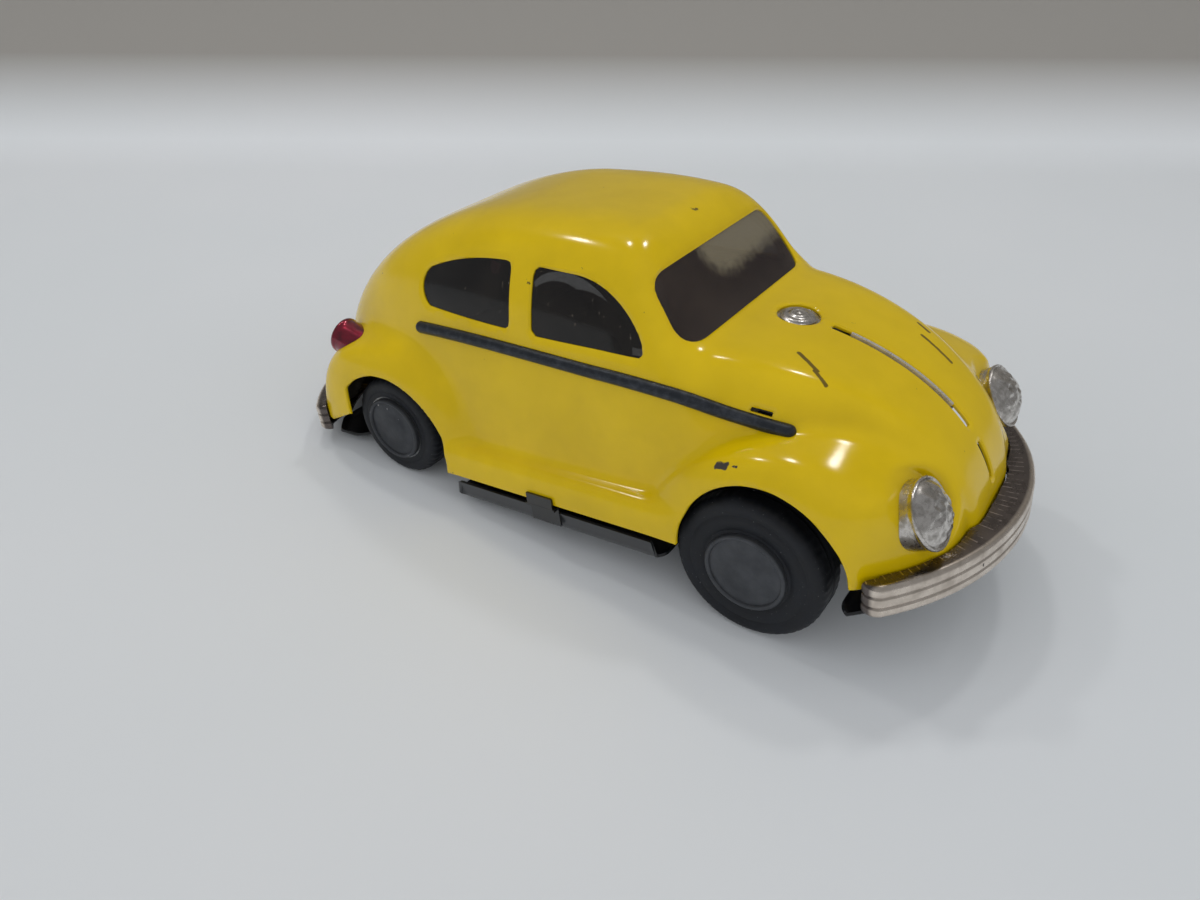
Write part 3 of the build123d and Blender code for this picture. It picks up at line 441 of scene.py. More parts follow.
def coloured(finish, ground, *coats):
    """Base colour: a ground, covered in turn by each coat's colour where its mask is."""
    colour = linear(ground)
    for mask, coat in coats:
        colour = add_node(finish.tree, "ShaderNodeMix", {0: mask, 6: colour, 7: linear(coat)},
                          data_type="RGBA").outputs[2]
    finish.tree.links.new(colour, finish.shader.inputs["Base Color"])


def grained(finish, strength, scale, detail, depth=0.0001):
    """A fine bump from noise of so many cells to the metre, to a depth in metres."""
    noise = add_node(finish.tree, "ShaderNodeTexNoise", {
        "Vector": finish.where, "Scale": scale, "Detail": detail})
    bump = add_node(finish.tree, "ShaderNodeBump", {
        "Strength": strength, "Distance": depth, "Height": noise.outputs["Fac"]})
    finish.tree.links.new(bump.outputs["Normal"], finish.shader.inputs["Normal"])


def stroke(finish, start, end, width, wander=0.0003, most=1.0):
    """A mask round a line between two car-frame points.  The distance to the line is frayed
    by noise, and cut off between a third and a half of the width in mm."""
    tree, low = finish.tree, stand(start)
    run = stand(end) - low
    noise = add_node(tree, "ShaderNodeTexNoise", {
        "Vector": finish.where, "Scale": 900.0, "Detail": 3.0})
    shaken = add_node(tree, "ShaderNodeVectorMath", {
        0: noise.outputs["Color"], 1: (wander,) * 3, 2: finish.where}, operation="MULTIPLY_ADD")
    from_low = add_node(tree, "ShaderNodeVectorMath", {
        0: shaken.outputs["Vector"], 1: tuple(low + wander / 2)}, operation="SUBTRACT")
    share = add_node(tree, "ShaderNodeVectorMath", {
        0: from_low.outputs["Vector"], 1: tuple(run / (run @ run))}, operation="DOT_PRODUCT")
    share = add_node(tree, "ShaderNodeClamp", {"Value": share.outputs["Value"]})
    along = add_node(tree, "ShaderNodeVectorMath", {
        0: tuple(run), "Scale": share.outputs["Result"]}, operation="SCALE")
    away = add_node(tree, "ShaderNodeVectorMath", {
        0: from_low.outputs["Vector"], 1: along.outputs["Vector"]}, operation="DISTANCE")
    return add_node(tree, "ShaderNodeMapRange", {
        "Value": away.outputs["Value"], "From Min": width / 2000, "From Max": width / 3000,
        "To Max": most}).outputs["Result"]


def on_body(x, y):
    """The place on the body above a point of the plan."""
    return x, y, float(reach_along((x, y, 0.0), (0.0, 0.0, 1.0)))


# Baked enamel over tinplate: deep gloss and a faint ripple from the spray.  Small chips go
# down to dark tin, and handling has left a few longer scratches on the bonnet, a nick on
# the right front wing, and thin grime.
enamel = Finish("baked_yellow_enamel", Roughness=0.14, IOR=1.45)
worn = [(speckle(enamel, 60, 0.35, 0.65), "#DCBA04"),
        (speckle(enamel, 420, 0.735, 0.75, 4.0), "#6B5A20")]
for start, end, width in (((42.4, -12.4), (46.6, -14.9), 0.9), ((46.3, -15.2), (48.9, -16.8), 0.8),
                          ((54.9, 10.9), (60.6, 9.5), 0.8), ((53.2, 14.0), (55.4, 13.3), 0.7)):
    worn.append((stroke(enamel, on_body(*start), on_body(*end), width), "#6A5518"))
for start, end, width in (((36.3, -30.2), (38.0, -30.3), 1.3), ((39.3, -30.3), (39.9, -30.3), 0.6)):
    worn.append((stroke(enamel, on_body(*start), on_body(*end), width, 0.0012), "#3D3A3C"))
worn.append((speckle(enamel, 35, 0.45, 0.8, 8.0, 0.7, most=0.25), "#A88A10"))
coloured(enamel, "#E5C206", *worn)
grained(enamel, 0.05, 260, 2.0, depth=0.0004)

# Inside, the sheet is bare tinplate under a thin dull lacquer.
lacquer = Finish("lacquered_tin_inside", Metallic=0.7, Roughness=0.5)
coloured(lacquer, "#6A635A", (speckle(lacquer, 150, 0.35, 0.7), "#7C7468"))

grid = skin_grid()
skin_points, skin_faces = grid.reshape(-1, 3), grid_faces(*grid.shape[:2])
points, faces = sheet_from_skin(shell_keep, 0.0, sheet_wall, drawn_lip)
shell = piece("pressed_body", points, faces, "body", "yellow_enamel", enamel, "body_shell")
shell.data.materials.append(lacquer.material)
wall_side = (faces >= len(points) // 2).all(1).astype(np.int32)
shell.data.polygons.foreach_set("material_index", wall_side)

# ================================================================ smoked windows
# Thin smoke-tinted clear sheet, vacuum-formed to lie against the inside of the shell
# behind each opening.  One sheet serves both windows of a side.
def smoked(name, alpha, dark, pale, lit_patch_lines=()):
    """Tinted clear sheet with a dusty haze and fine hairlines that run down it, and a paler
    painted patch of light round each of the lines given."""
    finish = Finish(name, Roughness=0.09, IOR=1.5, Alpha=alpha)
    downwards = add_node(finish.tree, "ShaderNodeMapping", {
        "Vector": finish.where, "Rotation": (0.3, 0.0, 0.5), "Scale": (14.0, 14.0, 1.2)})
    # A paler patch round each line given: painted light on the sheet.
    painted_light_patches = [(stroke(finish, *line, 0.004, most=0.6), "#B5AA8E") for line in lit_patch_lines]
    hairs = speckle(finish, 150, 0.69, 0.72, where=downwards.outputs["Vector"])
    coloured(finish, dark, (speckle(finish, 90, 0.35, 0.8, 6.0), pale), *painted_light_patches,
             (hairs, "#7A7064"))
    return finish


dark_smoke = smoked("dark_smoked_sheet", 0.74, "#151312", "#2A2622")
# The windscreen gets a paler painted patch of light towards its far upper corner.
pale_smoke = smoked("pale_smoked_sheet", 0.55, "#352C2B", "#51463F",
                    [((19.5, 2, 42.5), (18.5, 19, 42.5), 17.0)])

pane_wall, pane_depth, pane_lap, screen_lap = 0.3, sheet_wall + 0.1, 1.2, 0.9
bridge_x, bridge_z, bridge_half = -4.4, 37.5, (2.5, 6)


def side_pane(side):
    """Distance from both windows of one side and the bridge of sheet between them."""
    def distance(points):
        x, y, z = np.moveaxis(points, -1, 0)
        bridge = slab(x - bridge_x, z - bridge_z, *bridge_half)
        return np.minimum(side_opening(points, side),
                          np.where(side * y > window_side, bridge, far_away))
    return distance


for name, node, opening, lap, smoke in (
        ("side_window_left", "side_glazing_left", side_pane(1), pane_lap, dark_smoke),
        ("side_window_right", "side_glazing_right", side_pane(-1), pane_lap, dark_smoke),
        ("windscreen_pane", "windscreen", screen_opening, screen_lap, pale_smoke),
        ("rear_window_pane", "rear_glazing", back_opening, pane_lap, dark_smoke)):
    points, faces = sheet_from_skin(lambda at: lap - opening(at), pane_depth, pane_wall)
    piece(name, points, faces, "body", "smoked_sheet", smoke, node)

# ================================================================ side trims
# A half-round moulding runs along each belt line.  It is drawn wire in dull gunmetal,
# flattened on its back, with rounded ends and three tabs clinched through the shell.
def welded(points, faces):
    """Points that coincide become one, and triangles that collapse are left out."""
    flat = np.reshape(points, (-1, 3))
    _, first, merged = np.unique(np.round(flat, 4), axis=0, return_index=True, return_inverse=True)
    faces = merged.reshape(-1)[faces]
    whole = (faces[:, 0] != faces[:, 1]) & (faces[:, 1] != faces[:, 2]) & (faces[:, 2] != faces[:, 0])
    return flat[first], faces[whole]


def outward(points, faces):
    """Triangles of a closed surface, turned over where they enclose a volume below zero."""
    a, b, c = (points[faces[:, corner]] for corner in range(3))
    volume = np.einsum("ij,ij->i", a, np.cross(b, c)).sum()
    return (points, faces if volume > 0 else faces[:, ::-1])


def spun(x, y, z):
    """A surface from grids of places, whose last row is the first one come round again."""
    grid = np.stack(np.broadcast_arrays(x, y, z), -1)
    grid[-1] = grid[0]
    return welded(grid, grid_faces(*grid.shape[:2]))


def closed_tube(rings):
    """Rings of points, each ring closed, the first and last ring drawn in to a point."""
    rings = np.concatenate([rings[:1] * 0 + rings[:1].mean(1, keepdims=True), rings,
                            rings[-1:] * 0 + rings[-1:].mean(1, keepdims=True)])
    rings = np.concatenate([rings, rings[:, :1]], 1)
    return outward(*welded(rings, grid_faces(*rings.shape[:2])))


trim_x, trim_rise, trim_radius = (-31.5, 46.5), (47.5, 42.4), 1.2
sides = ((-1, "right"), (1, "left"))


def trim_line(side, share):
    """Points of the belt line on the body, at shares of its length, and the skin's normals."""
    x = trim_x[0] + share * (trim_x[1] - trim_x[0])
    rise = np.radians(trim_rise[0] + share * (trim_rise[1] - trim_rise[0]))
    length = reach_along((x, 0.0, 0.0), (0 * rise, np.cos(rise), np.sin(rise)))
    points = np.stack([x, side * length * np.cos(rise), length * np.sin(rise)], -1)
    return points, normals_of(points)


def side_trim(side, stations=120, around=20):
    """Half circle swept along the belt line; its radius follows a quarter circle at each end."""
    turn = np.linspace(0, np.pi, stations)
    share = 0.5 - 0.5 * np.cos(turn)
    points, normals = trim_line(side, share)
    away = np.linalg.norm(points - points[:1], axis=-1)
    back = np.linalg.norm(points - points[-1:], axis=-1)
    end = np.clip(np.minimum(away, back) / trim_radius, 0, 1)
    radius = trim_radius * np.sqrt(np.maximum(1 - (1 - end) ** 2, 0.01))
    along = unit(np.gradient(points, axis=0))
    across = unit(np.cross(along, normals))
    angle = np.linspace(0, 2 * np.pi, around, endpoint=False)
    out = np.maximum(np.cos(angle), -0.2)[None, :, None] * radius[:, None, None]
    wide = np.sin(angle)[None, :, None] * radius[:, None, None]
    return closed_tube(points[:, None] + normals[:, None] * out + across[:, None] * wide)


# Gunmetal: dark plated wire, rubbed a little brighter in specks.
gunmetal = Finish("gunmetal_wire", Metallic=0.55, Roughness=0.42)
coloured(gunmetal, "#2E3238", (speckle(gunmetal, 700, 0.45, 0.75, 4.0), "#474B52"))
grained(gunmetal, 0.15, 1500.0, 3.0)


def tab_block(side, share, length=3.4, wall=0.5, buried=0.55, reach=2.2):
    """A clinched tab: a flat box that runs from under the trim through the shell."""
    point = trim_line(side, np.array([share]))[0][0]
    along = unit(trim_line(side, np.array([share + 0.01]))[0][0] - point)
    inward = np.array([0, -side, 0.0])
    up = unit(np.cross(along, inward))
    up = up if up[2] > 0 else -up
    start = point + up * 0.55 * trim_radius
    corners = [start + along * a * length / 2 + up * b * wall / 2 + inward * c
               for a in (-1, 1) for b in (-1, 1) for c in (-buried, reach)]
    faces = [(0, 1, 3), (0, 3, 2), (4, 6, 7), (4, 7, 5), (0, 4, 5), (0, 5, 1),
             (2, 3, 7), (2, 7, 6), (0, 2, 6), (0, 6, 4), (1, 5, 7), (1, 7, 3)]
    return outward(np.array(corners), np.array(faces))


def joined(parts):
    """Several meshes as one list of points and one of faces."""
    before = np.cumsum([0] + [len(points) for points, _ in parts])
    return (np.concatenate([points for points, _ in parts]),
            np.concatenate([faces + count for (_, faces), count in zip(parts, before)]))


for side, name in sides:
    tabs = [tab_block(side, share) for share in (0.06, 0.5, 0.93)]
    piece(f"belt_trim_{name}", *joined([side_trim(side), *tabs]), "body", "dark_trim", gunmetal,
          f"side_trim_{name}")

# ================================================================ bonnet strip and badge
# A thin bright rib stands in the slot along the bonnet, on a flange beneath it, and a
# little dished disc sits in the round hole by the screen.  Both are plated tin.
def roughened(finish, mask, low, high):
    """Roughness that goes from low to high with a mask."""
    level = add_node(finish.tree, "ShaderNodeMapRange", {
        "Value": mask, "To Min": low, "To Max": high})
    finish.tree.links.new(level.outputs["Result"], finish.shader.inputs["Roughness"])


def plated(name, metal, pale, dull, grain):
    """Bright tin plate, a little duller and rougher in specks, with a fine grain."""
    finish = Finish(name, Metallic=metal)
    specks = speckle(finish, 900, 0.4, 0.7, 5.0)
    coloured(finish, pale, (specks, dull))
    roughened(finish, specks, 0.18, 0.45)
    grained(finish, grain, 1200.0, 4.0)
    return finish


bright = plated("bright_plated_tin", 1.0, "#DAD5CF", "#A09B95", 0.3)
polished = plated("polished_tin_strip", 0.6, "#E2DED8", "#C4BFB9", 0.02)


def bonnet_top(x):
    """The bonnet's centre line at places along the car, and its normals there."""
    height = reach_along((x, 0.0, 0.0), (0.0, 0.0, 1.0))
    points = np.stack([x, 0 * x, height], -1)
    return points, normals_of(points)


def strip_run(low, high, half_width, depth_from, depth_to, stations=60):
    """A bar that follows the bonnet between two depths below its skin."""
    points, normals = bonnet_top(np.linspace(low, high, stations))
    corners = [(-half_width, depth_from), (half_width, depth_from),
               (half_width, depth_to), (-half_width, depth_to)]
    rings = np.stack([points - normals * depth + np.array([0, wide, 0]) for wide, depth in corners], 1)
    return closed_tube(rings)


slot_low, slot_high, _ = bonnet_slot
rib_proud, flange_top, flange_under = 0.15, sheet_wall + 0.6, sheet_wall + 0.9
strip = joined([strip_run(slot_low + 3.4, slot_high - 3.0, 0.3, -rib_proud, flange_top),
                strip_run(slot_low + 3.5, slot_high - 2.5, 2.0, flange_top, flange_under)])
piece("bonnet_strip", *strip, "body", "bright_tin", polished, "hood_strip")


def turned(profile, steps=96):
    """Surface of revolution about z: each (radius, height) of the profile at each turn."""
    radius, height = np.asarray(profile, float).T
    turn = np.linspace(0, 2 * np.pi, steps + 1)[:, None]
    return outward(*spun(radius * np.cos(turn), radius * np.sin(turn), height))


def set_up(x, y, z, origin, out):
    """Places of a piece's own frame, whose z runs along a direction from an origin."""
    across = unit(np.cross((0, 0, 1.0) if abs(out[2]) < 0.99 else (1.0, 0, 0), out))
    up = np.cross(out, across)
    return origin + x[..., None] * across + y[..., None] * up + z[..., None] * out


badge_radius, badge_base, badge_crown, badge_rings, ring_depth = 3.3, -0.45, 0.28, 2.5, 0.07
share = np.linspace(0, 1, 60)
# A shallow dome falls with the square of the radius, and rings ripple it as a cosine does.
badge_top = badge_crown - (badge_crown - badge_base) * share ** 2 + (
    ring_depth * np.cos(2 * np.pi * badge_rings * share) * (share < 0.95))
badge = [*zip(badge_radius * share, badge_top), (3.3, -0.8), (4.8, -0.85), (4.8, -1.2), (0, -1.2)]
badge_at, badge_normal = (value[0] for value in bonnet_top(np.array([badge_x])))
points, faces = turned(badge)
piece("bonnet_badge", set_up(*points.T, badge_at, badge_normal), faces, "body", "bright_tin", bright,
      "hood_badge")

# ================================================================ headlamps
# Each headlamp is an embossed cap of thin plated tin: a pebbled dome in a plain rolled
# rim.  It sits in a shallow round seat in the front wing and is clinched through it.
lamp_radius, lamp_barrel, lamp_dome = 5.85, -0.2, 4.7
dome_share, dome_fall = 0.88, 0.743814   # the pebbled part of the radius, and its drop
pebble_size, pebble_depth, pebbles_end, pebbles_fade = 1.5, 0.17, 0.84, 0.25


def pebbles(x, y, pitch):
    """Smooth bumps from five cosine waves that cross at uneven angles, about -1 to 1."""
    total = 0
    for number in range(5):
        angle = 0.4 + number * 1.257
        phase = 2.1 * number
        total = total + np.cos(2 * np.pi / (pitch * (1 + 0.13 * number))
                               * (x * math.cos(angle) + y * math.sin(angle)) + phase)
    return total / 3.2


def wing_depth(origin, out, x, y, deepest=-9.0, highest=4.0, halvings=30, clear=0.05):
    """How far along the lamp's axis the body's skin is, at places in the lamp's frame."""
    low, high = np.full(x.shape, deepest), np.full(x.shape, highest)
    for _ in range(halvings):
        middle = (low + high) / 2
        at = set_up(x, y, middle, origin, out)
        inside = body_form(*np.moveaxis(at, -1, 0)) < clear
        low, high = np.where(inside, middle, low), np.where(inside, high, middle)
    return low


def wing_lamp(side, facing, origin, pitch, toe, radius, outline, relief=0.0, steps=120):
    """A turned cap on a wing: an outline of (share of radius, height) from its crown to its
    rim, then a barrel down to the wing's skin and a back that lies on the skin."""
    origin = np.array([origin[0], side * origin[1], origin[2]])
    out = np.array([facing * math.cos(pitch) * math.cos(toe), side * math.cos(pitch) * math.sin(toe),
                    math.sin(pitch)])
    share, height = np.asarray(outline, float).T
    count = len(share)
    turn = np.linspace(0, 2 * np.pi, steps + 1)[:, None]
    spread = radius * np.concatenate([share, np.linspace(share[-1], 0, 6)])[None, :]
    x, y = spread * np.cos(turn), spread * np.sin(turn)
    front = height + relief * pebbles(x[:, :count], y[:, :count], pebble_size) * (
        np.clip((pebbles_end - share) / pebbles_fade, 0, 1))
    rear = wing_depth(origin, out, x[:, count:], y[:, count:])
    z = np.concatenate([front, np.minimum(rear, height[-1] - 0.1)], 1)
    return outward(*spun(*np.moveaxis(set_up(x, y, z, origin, out), -1, 0)))


dome = [(share, lamp_barrel + lamp_dome * math.sqrt(1 - dome_fall * (share / dome_share) ** 2))
        for share in np.linspace(0, dome_share, 40)]
rim = [(share, dome[-1][1] + rise) for share, rise in (
    (0.91, -0.18), (0.935, 0.02), (0.965, 0.08), (0.99, -0.05), (1.0, -0.3), (0.995, -0.6),
    (0.96, -0.9), (0.95, -1.3))]
for side, name in sides:
    points, faces = wing_lamp(side, 1, seat_at, lamp_pitch, lamp_toe, lamp_radius, dome + rim,
                              pebble_depth)
    piece(f"pebbled_headlamp_{name}", points, faces, "body", "bright_tin", bright,
          f"headlamp_{name}", sharp=60)

# ================================================================ tail lamps
# The tail lamps are small drawn tin cups, lacquered in clear raspberry red, with a bead
# round the mouth and a shallow domed end.
raspberry = Finish("raspberry_lacquer_on_tin", Metallic=0.75, Roughness=0.24, Coat_Weight=1.0,
                   Coat_Roughness=0.04)
coloured(raspberry, "#961030", (speckle(raspberry, 450, 0.35, 0.7), "#5E071D"))
grained(raspberry, 0.25, 900.0, 2.0)

cup = [(0, 2.3), (0.3, 2.25), (0.62, 2.1), (0.74, 1.8), (0.78, 1.95), (0.86, 2.15), (0.95, 2.1),
       (1.0, 1.8), (1.0, 1.3), (0.97, 1.1), (0.96, 0.9), (0.97, 0.2)]
cup_radius, cup_y, cup_z, cup_pitch, cup_toe = 3.9, 25.2, 21.8, math.radians(20), math.radians(4)
cup_x = rear_axle[0] - float(reach_along((rear_axle[0], cup_y, cup_z), (-1.0, 0.0, 0.0)))
for side, name in sides:
    points, faces = wing_lamp(side, -1, (cup_x, cup_y, cup_z), cup_pitch, cup_toe, cup_radius, cup,
                              steps=72)
    piece(f"red_tail_lamp_{name}", points, faces, "body", "red_lamp", raspberry,
          f"tail_lamp_{name}")

# ================================================================ bumpers
# Each bumper is a pressed channel of nickel-plated tin, bowed round one end of the car.
# Two grooves run along its face, its ends curl in, and two chassis tongues hold it.
bumper_radius, bumper_height, bumper_flange, flange_mark = 43.9, 6.1, 6.4, 1.0
groove_depth, groove_width, grooves = 0.28, 0.2, (-1.05, 0.95)
channel_corner, channel_wall, channel_lip = 0.9, 0.75, 0.45
rear_bumper_centre = -35.0


def bumper_section(middle):
    """Channel outline as (depth behind the face, height), closed.  Each groove is a bell
    curve, and the flange's points are left at a mark that the sweep moves."""
    low, high = middle - bumper_height / 2, middle + bumper_height / 2
    corner = [(channel_corner * (1 - math.sin(t)), channel_corner * (1 - math.cos(t)))
              for t in np.linspace(0, np.pi / 2, 6)]
    upper = [(depth, high - drop) for depth, drop in corner]
    face = [(groove_depth * sum(math.exp(-((height - at) / groove_width) ** 2) for at in grooves),
             middle + height) for height in np.linspace(2.1, -2.1, 61)]
    lower = [(depth, low + drop) for depth, drop in reversed(corner)]
    outside = [(flange_mark, high), *upper, *face, *lower, (flange_mark, low)]
    inside = [(flange_mark, low + channel_lip), (1.0, low + channel_lip), (channel_wall, low + 0.8),
              (channel_wall, high - 0.8), (1.0, high - channel_lip), (flange_mark, high - channel_lip)]
    return np.array(outside + inside)


def bumper(facing, centre_x, middle, half_angle, curl=2.6, gap=0.15, least=1.3, drawn_in=5,
           skin_clear=0.3, stations=150):
    """The section swept along the bow, then round a quarter circle at each end, where the
    flange is drawn in.  Next to the body the flange stops just short of the skin."""
    section = bumper_section(middle)
    bow = np.radians(np.linspace(-half_angle, half_angle, stations))
    run_in = np.radians(np.linspace(0, 90, 14))
    hub = bumper_radius - curl
    ends = []
    for way in (-1, 1):
        tip = way * math.radians(half_angle)
        direction = tip + way * run_in
        at = hub * np.array([math.cos(tip), math.sin(tip)]) + curl * np.stack(
            [np.cos(direction), np.sin(direction)], -1)
        ends.append((at, direction, np.full(len(run_in), curl - gap)))
    at = bumper_radius * np.stack([np.cos(bow), np.sin(bow)], -1)
    taper = np.clip((math.radians(half_angle) - np.abs(bow)) * bumper_radius / drawn_in, 0, 1)
    reach = (curl - gap) + (bumper_flange - curl) * taper * (2 - taper)
    depths = np.linspace(0, bumper_flange, 40)
    x = centre_x + facing * np.cos(bow)[:, None] * (bumper_radius - depths)
    y = np.sin(bow)[:, None] * (bumper_radius - depths)
    clear = body_form(x, y, np.full(x.shape, middle + bumper_height / 2)) > skin_clear
    room = np.where(clear.all(1), bumper_flange, depths[clear.argmin(1)])
    reach = np.minimum(reach, np.maximum(room - gap, least))
    path, direction, reach = (
        np.concatenate([first[::-1], along, last])
        for first, along, last in zip(ends[0], (at, bow, reach), ends[1]))
    on_flange = np.isclose(section[:, 0], flange_mark) & (np.abs(section[:, 1] - middle) > 2.4)
    depth = np.where(on_flange, reach[:, None], section[:, 0])
    ring_x = path[:, :1] - np.cos(direction)[:, None] * depth
    ring_y = path[:, 1:] - np.sin(direction)[:, None] * depth
    return closed_tube(np.stack([centre_x + facing * ring_x, ring_y, section[:, 1] + 0 * ring_x], -1))


# Nickel plate: warm and slightly tarnished on the face, and darker on the flange behind it,
# with short press marks 1.55 mm apart across the flange.
nickel = Finish("tarnished_nickel_plate", Metallic=1.0)
depth, along = (add_node(nickel.tree, "ShaderNodeAttribute", attribute_name=name).outputs["Fac"]
                for name in ("face_depth_mm", "along_mm"))
clouded = speckle(nickel, 330, 0.35, 0.7, 5.0)
on_flange = add_node(nickel.tree, "ShaderNodeMapRange", {
    "Value": depth, "From Min": 0.55, "From Max": 1.1}).outputs["Result"]
mark = along
for operation, value in (("MODULO", 1.55), ("LESS_THAN", 0.2),
                         ("MULTIPLY", speckle(nickel, 520, 0.42, 0.56, 2.0)),
                         ("MULTIPLY", add_node(nickel.tree, "ShaderNodeMath", {0: depth, 1: 1.9},
                                               operation="GREATER_THAN").outputs["Value"])):
    mark = add_node(nickel.tree, "ShaderNodeMath", {0: mark, 1: value},
                    operation=operation).outputs["Value"]
coloured(nickel, "#E6DACD", (clouded, "#C8BCAF"), (on_flange, "#6E6662"), (mark, "#B9ACA6"))
roughened(nickel, clouded, 0.2, 0.42)
grained(nickel, 0.22, 800.0, 4.0)


def measured(made, name, values):
    """Stores one number for each point of a piece, for its material to read."""
    store = made.data.attributes.new(name, "FLOAT", "POINT")
    store.data.foreach_set("value", np.asarray(values, np.float32))


for node, facing, centre_x, middle, half_angle in (
        ("front_bumper", 1, bumper_centre, -0.5, 45.0),
        ("rear_bumper", -1, rear_bumper_centre, 4.1, 47.0)):
    points, faces = bumper(facing, centre_x, middle, half_angle)
    made = piece(f"nickel_{node}", points, faces, "body", "nickel", nickel, node, sharp=40)
    x, y = facing * (points[:, 0] - centre_x), points[:, 1]
    measured(made, "face_depth_mm", bumper_radius - np.hypot(x, y))
    measured(made, "along_mm", 60 + np.arctan2(y, x) * bumper_radius)

# ================================================================ tyres
# The tyres are moulded rubber rings, stretched over the wheel drums: smooth walls with
# a fine ring near the edge, round shoulders, and a shallow cross tread with a groove.
tyre_face, rim_radius = 30.4, 7.2


def tyre(radius, width, bars, cut, steps=288):
    """Closed section turned about the axle; the tread's radius dips by a cosine of the
    turn in its outer bands, and in a groove along its middle."""
    shoulder = 1.7
    bead = [(rim_radius, -width), (rim_radius, 0), (rim_radius + 0.5, 0), (rim_radius + 0.7, -0.14),
            (rim_radius + 0.95, -0.14), (rim_radius + 1.15, 0)]
    wall = [(radius - 3.3, 0), (radius - 3.1, -0.12), (radius - 2.9, -0.12), (radius - 2.7, 0)]
    bend = [(radius - shoulder + shoulder * math.sin(t), -shoulder + shoulder * math.cos(t))
            for t in np.linspace(0, np.pi / 2, 9)]
    tread = [(radius - 0.25 * math.exp(-((out + width / 2) / 0.35) ** 4), out)
             for out in np.linspace(-shoulder - 0.3, shoulder + 0.3 - width, 21)]
    far = [(r, -width - out) for r, out in reversed(bend)]
    section = np.array(bead + wall + bend + tread + far + [(rim_radius, -width)])
    r, out = section.T
    turn = np.linspace(0, 2 * np.pi, steps + 1)[:, None]
    band = np.clip((r - radius + 0.9) / 0.8, 0, 1) * (np.abs(out + width / 2) > 0.9)
    dip = cut * np.clip(0.5 - 1.6 * np.cos(bars * turn), 0, 1) * band
    return spun((r - dip) * np.cos(turn), (r - dip) * np.sin(turn), out)


rubber = Finish("dusty_black_rubber", Specular_IOR_Level=0.35)
dust = speckle(rubber, 160, 0.4, 0.75, 6.0)
grit = speckle(rubber, 2200, 0.7, 0.74, 2.0)
coloured(rubber, "#14161B", (dust, "#23262C"), (grit, "#5B5C5E"))
roughened(rubber, dust, 0.48, 0.75)
grained(rubber, 0.3, 1400.0, 4.0)


def on_axle(points, axle, side, out):
    """Points turned about z, set on an axle: their z points outwards along the car's side."""
    x, y, z = np.moveaxis(points, -1, 0)
    return np.stack([axle[0] + x, side * (out + z), axle[1] + y], -1)


# Each pair's tyre has its radius, its width, and the number and depth of its tread bars.
for end, axle, radius, width, bars, cut in (("front", front_axle, 13.85, 8.0, 54, 0.07),
                                            ("rear", rear_axle, 11.0, 7.0, 44, 0.18)):
    points, faces = tyre(radius, width, bars, cut)
    for side, name in sides:
        placed = outward(on_axle(points, axle, side, tyre_face), faces)
        piece(f"rubber_{end}_{name}", *placed, f"{end}_wheels", "tyre_rubber", rubber,
              f"{end}_tyre_{name}", sharp=50)

# ================================================================ hub caps
# Flat tin discs with a rolled edge and a faint raised middle, plated a dull dark grey.
# A lip presses into the wheel drum.  The rear ones are a little smaller and more scuffed.
def cap_profile(edge, roll=0.45, lip_radius=6.5, lip_depth=-1.1):
    """Disc, rolled edge and lip as (radius, height) from the axle outwards and back."""
    rolled = [(edge - roll + roll * math.sin(t), 0.6 + roll * math.cos(t))
              for t in np.linspace(-np.pi / 2, np.pi / 2, 9)]
    return [(0, 0.86), (0.5 * edge, 0.84), (0.53 * edge, 0.72), (edge - 1.5, 0.68), (edge - 1.1, 0.6),
            *rolled, (edge, 0.02), (lip_radius, 0.02), (lip_radius, lip_depth), (0, lip_depth)]


def cap_metal(name, base, pale, scuffs):
    """Dull plated tin with cloudy wear, bright scuffs and a fine grain."""
    finish = Finish(name, Metallic=0.6, Roughness=0.5)
    coloured(finish, base, (speckle(finish, 260, 0.35, 0.75, 5.0), pale),
             (speckle(finish, 480, *scuffs), "#C9C8C6"))
    grained(finish, 0.25, 1800.0, 3.0)
    return finish


front_cap = cap_metal("dull_grey_plated_tin", "#45474B", "#56585C", (0.8, 0.82))
rear_cap = cap_metal("scuffed_grey_plated_tin", "#3C3E42", "#505256", (0.69, 0.71))
for end, axle, edge, metal in (("front", front_axle, 7.5, front_cap),
                               ("rear", rear_axle, 6.9, rear_cap)):
    points, faces = turned(cap_profile(edge), 120)
    for side, name in sides:
        placed = outward(on_axle(points, axle, side, tyre_face), faces)
        piece(f"cap_{end}_{name}", *placed, f"{end}_wheels", "cap_tin", metal,
              f"{end}_hub_cap_{name}", sharp=40)

# ================================================================ chassis tray
# The tray under the body is bent from black enamelled tin, worn to bare metal in places.
# Cheeks stand on it by the front axle.  Its tongues hold the bumpers, and its side tabs
# the body.
black = Finish("black_enamel_worn", Roughness=0.3, Coat_Weight=0.5)
coloured(black, "#101114", (speckle(black, 120, 0.4, 0.8, 6.0), "#1E2023"),
         (speckle(black, 380, 0.72, 0.74, 5.0), "#8D8B86"))
grained(black, 0.12, 500.0, 3.0)

# Wide parts of the plan: middle and half length along the car, half width, corner radius.
tray_parts = [(2.5, 66.5, 19.5, 2.0), (0.35, 25.2, 32.2, 2.5), (63.2, 6.2, 32.2, 4.5),
              (-60.0, 6.6, 29.5, 5.0)]
tray_wall, tray_floor, tray_bow, kick_from, kick_run, kick_rise = 0.5, -6.0, 40.2, -24, 8, 4.4
gear_y, gear_opening = -4.6, (9.0, 2.0)
rolled_run, rolled_rise, side_from, side_rise, side_middle, side_half = 1.4, 0.9, 31.2, 4.0, 0.35, 23.5


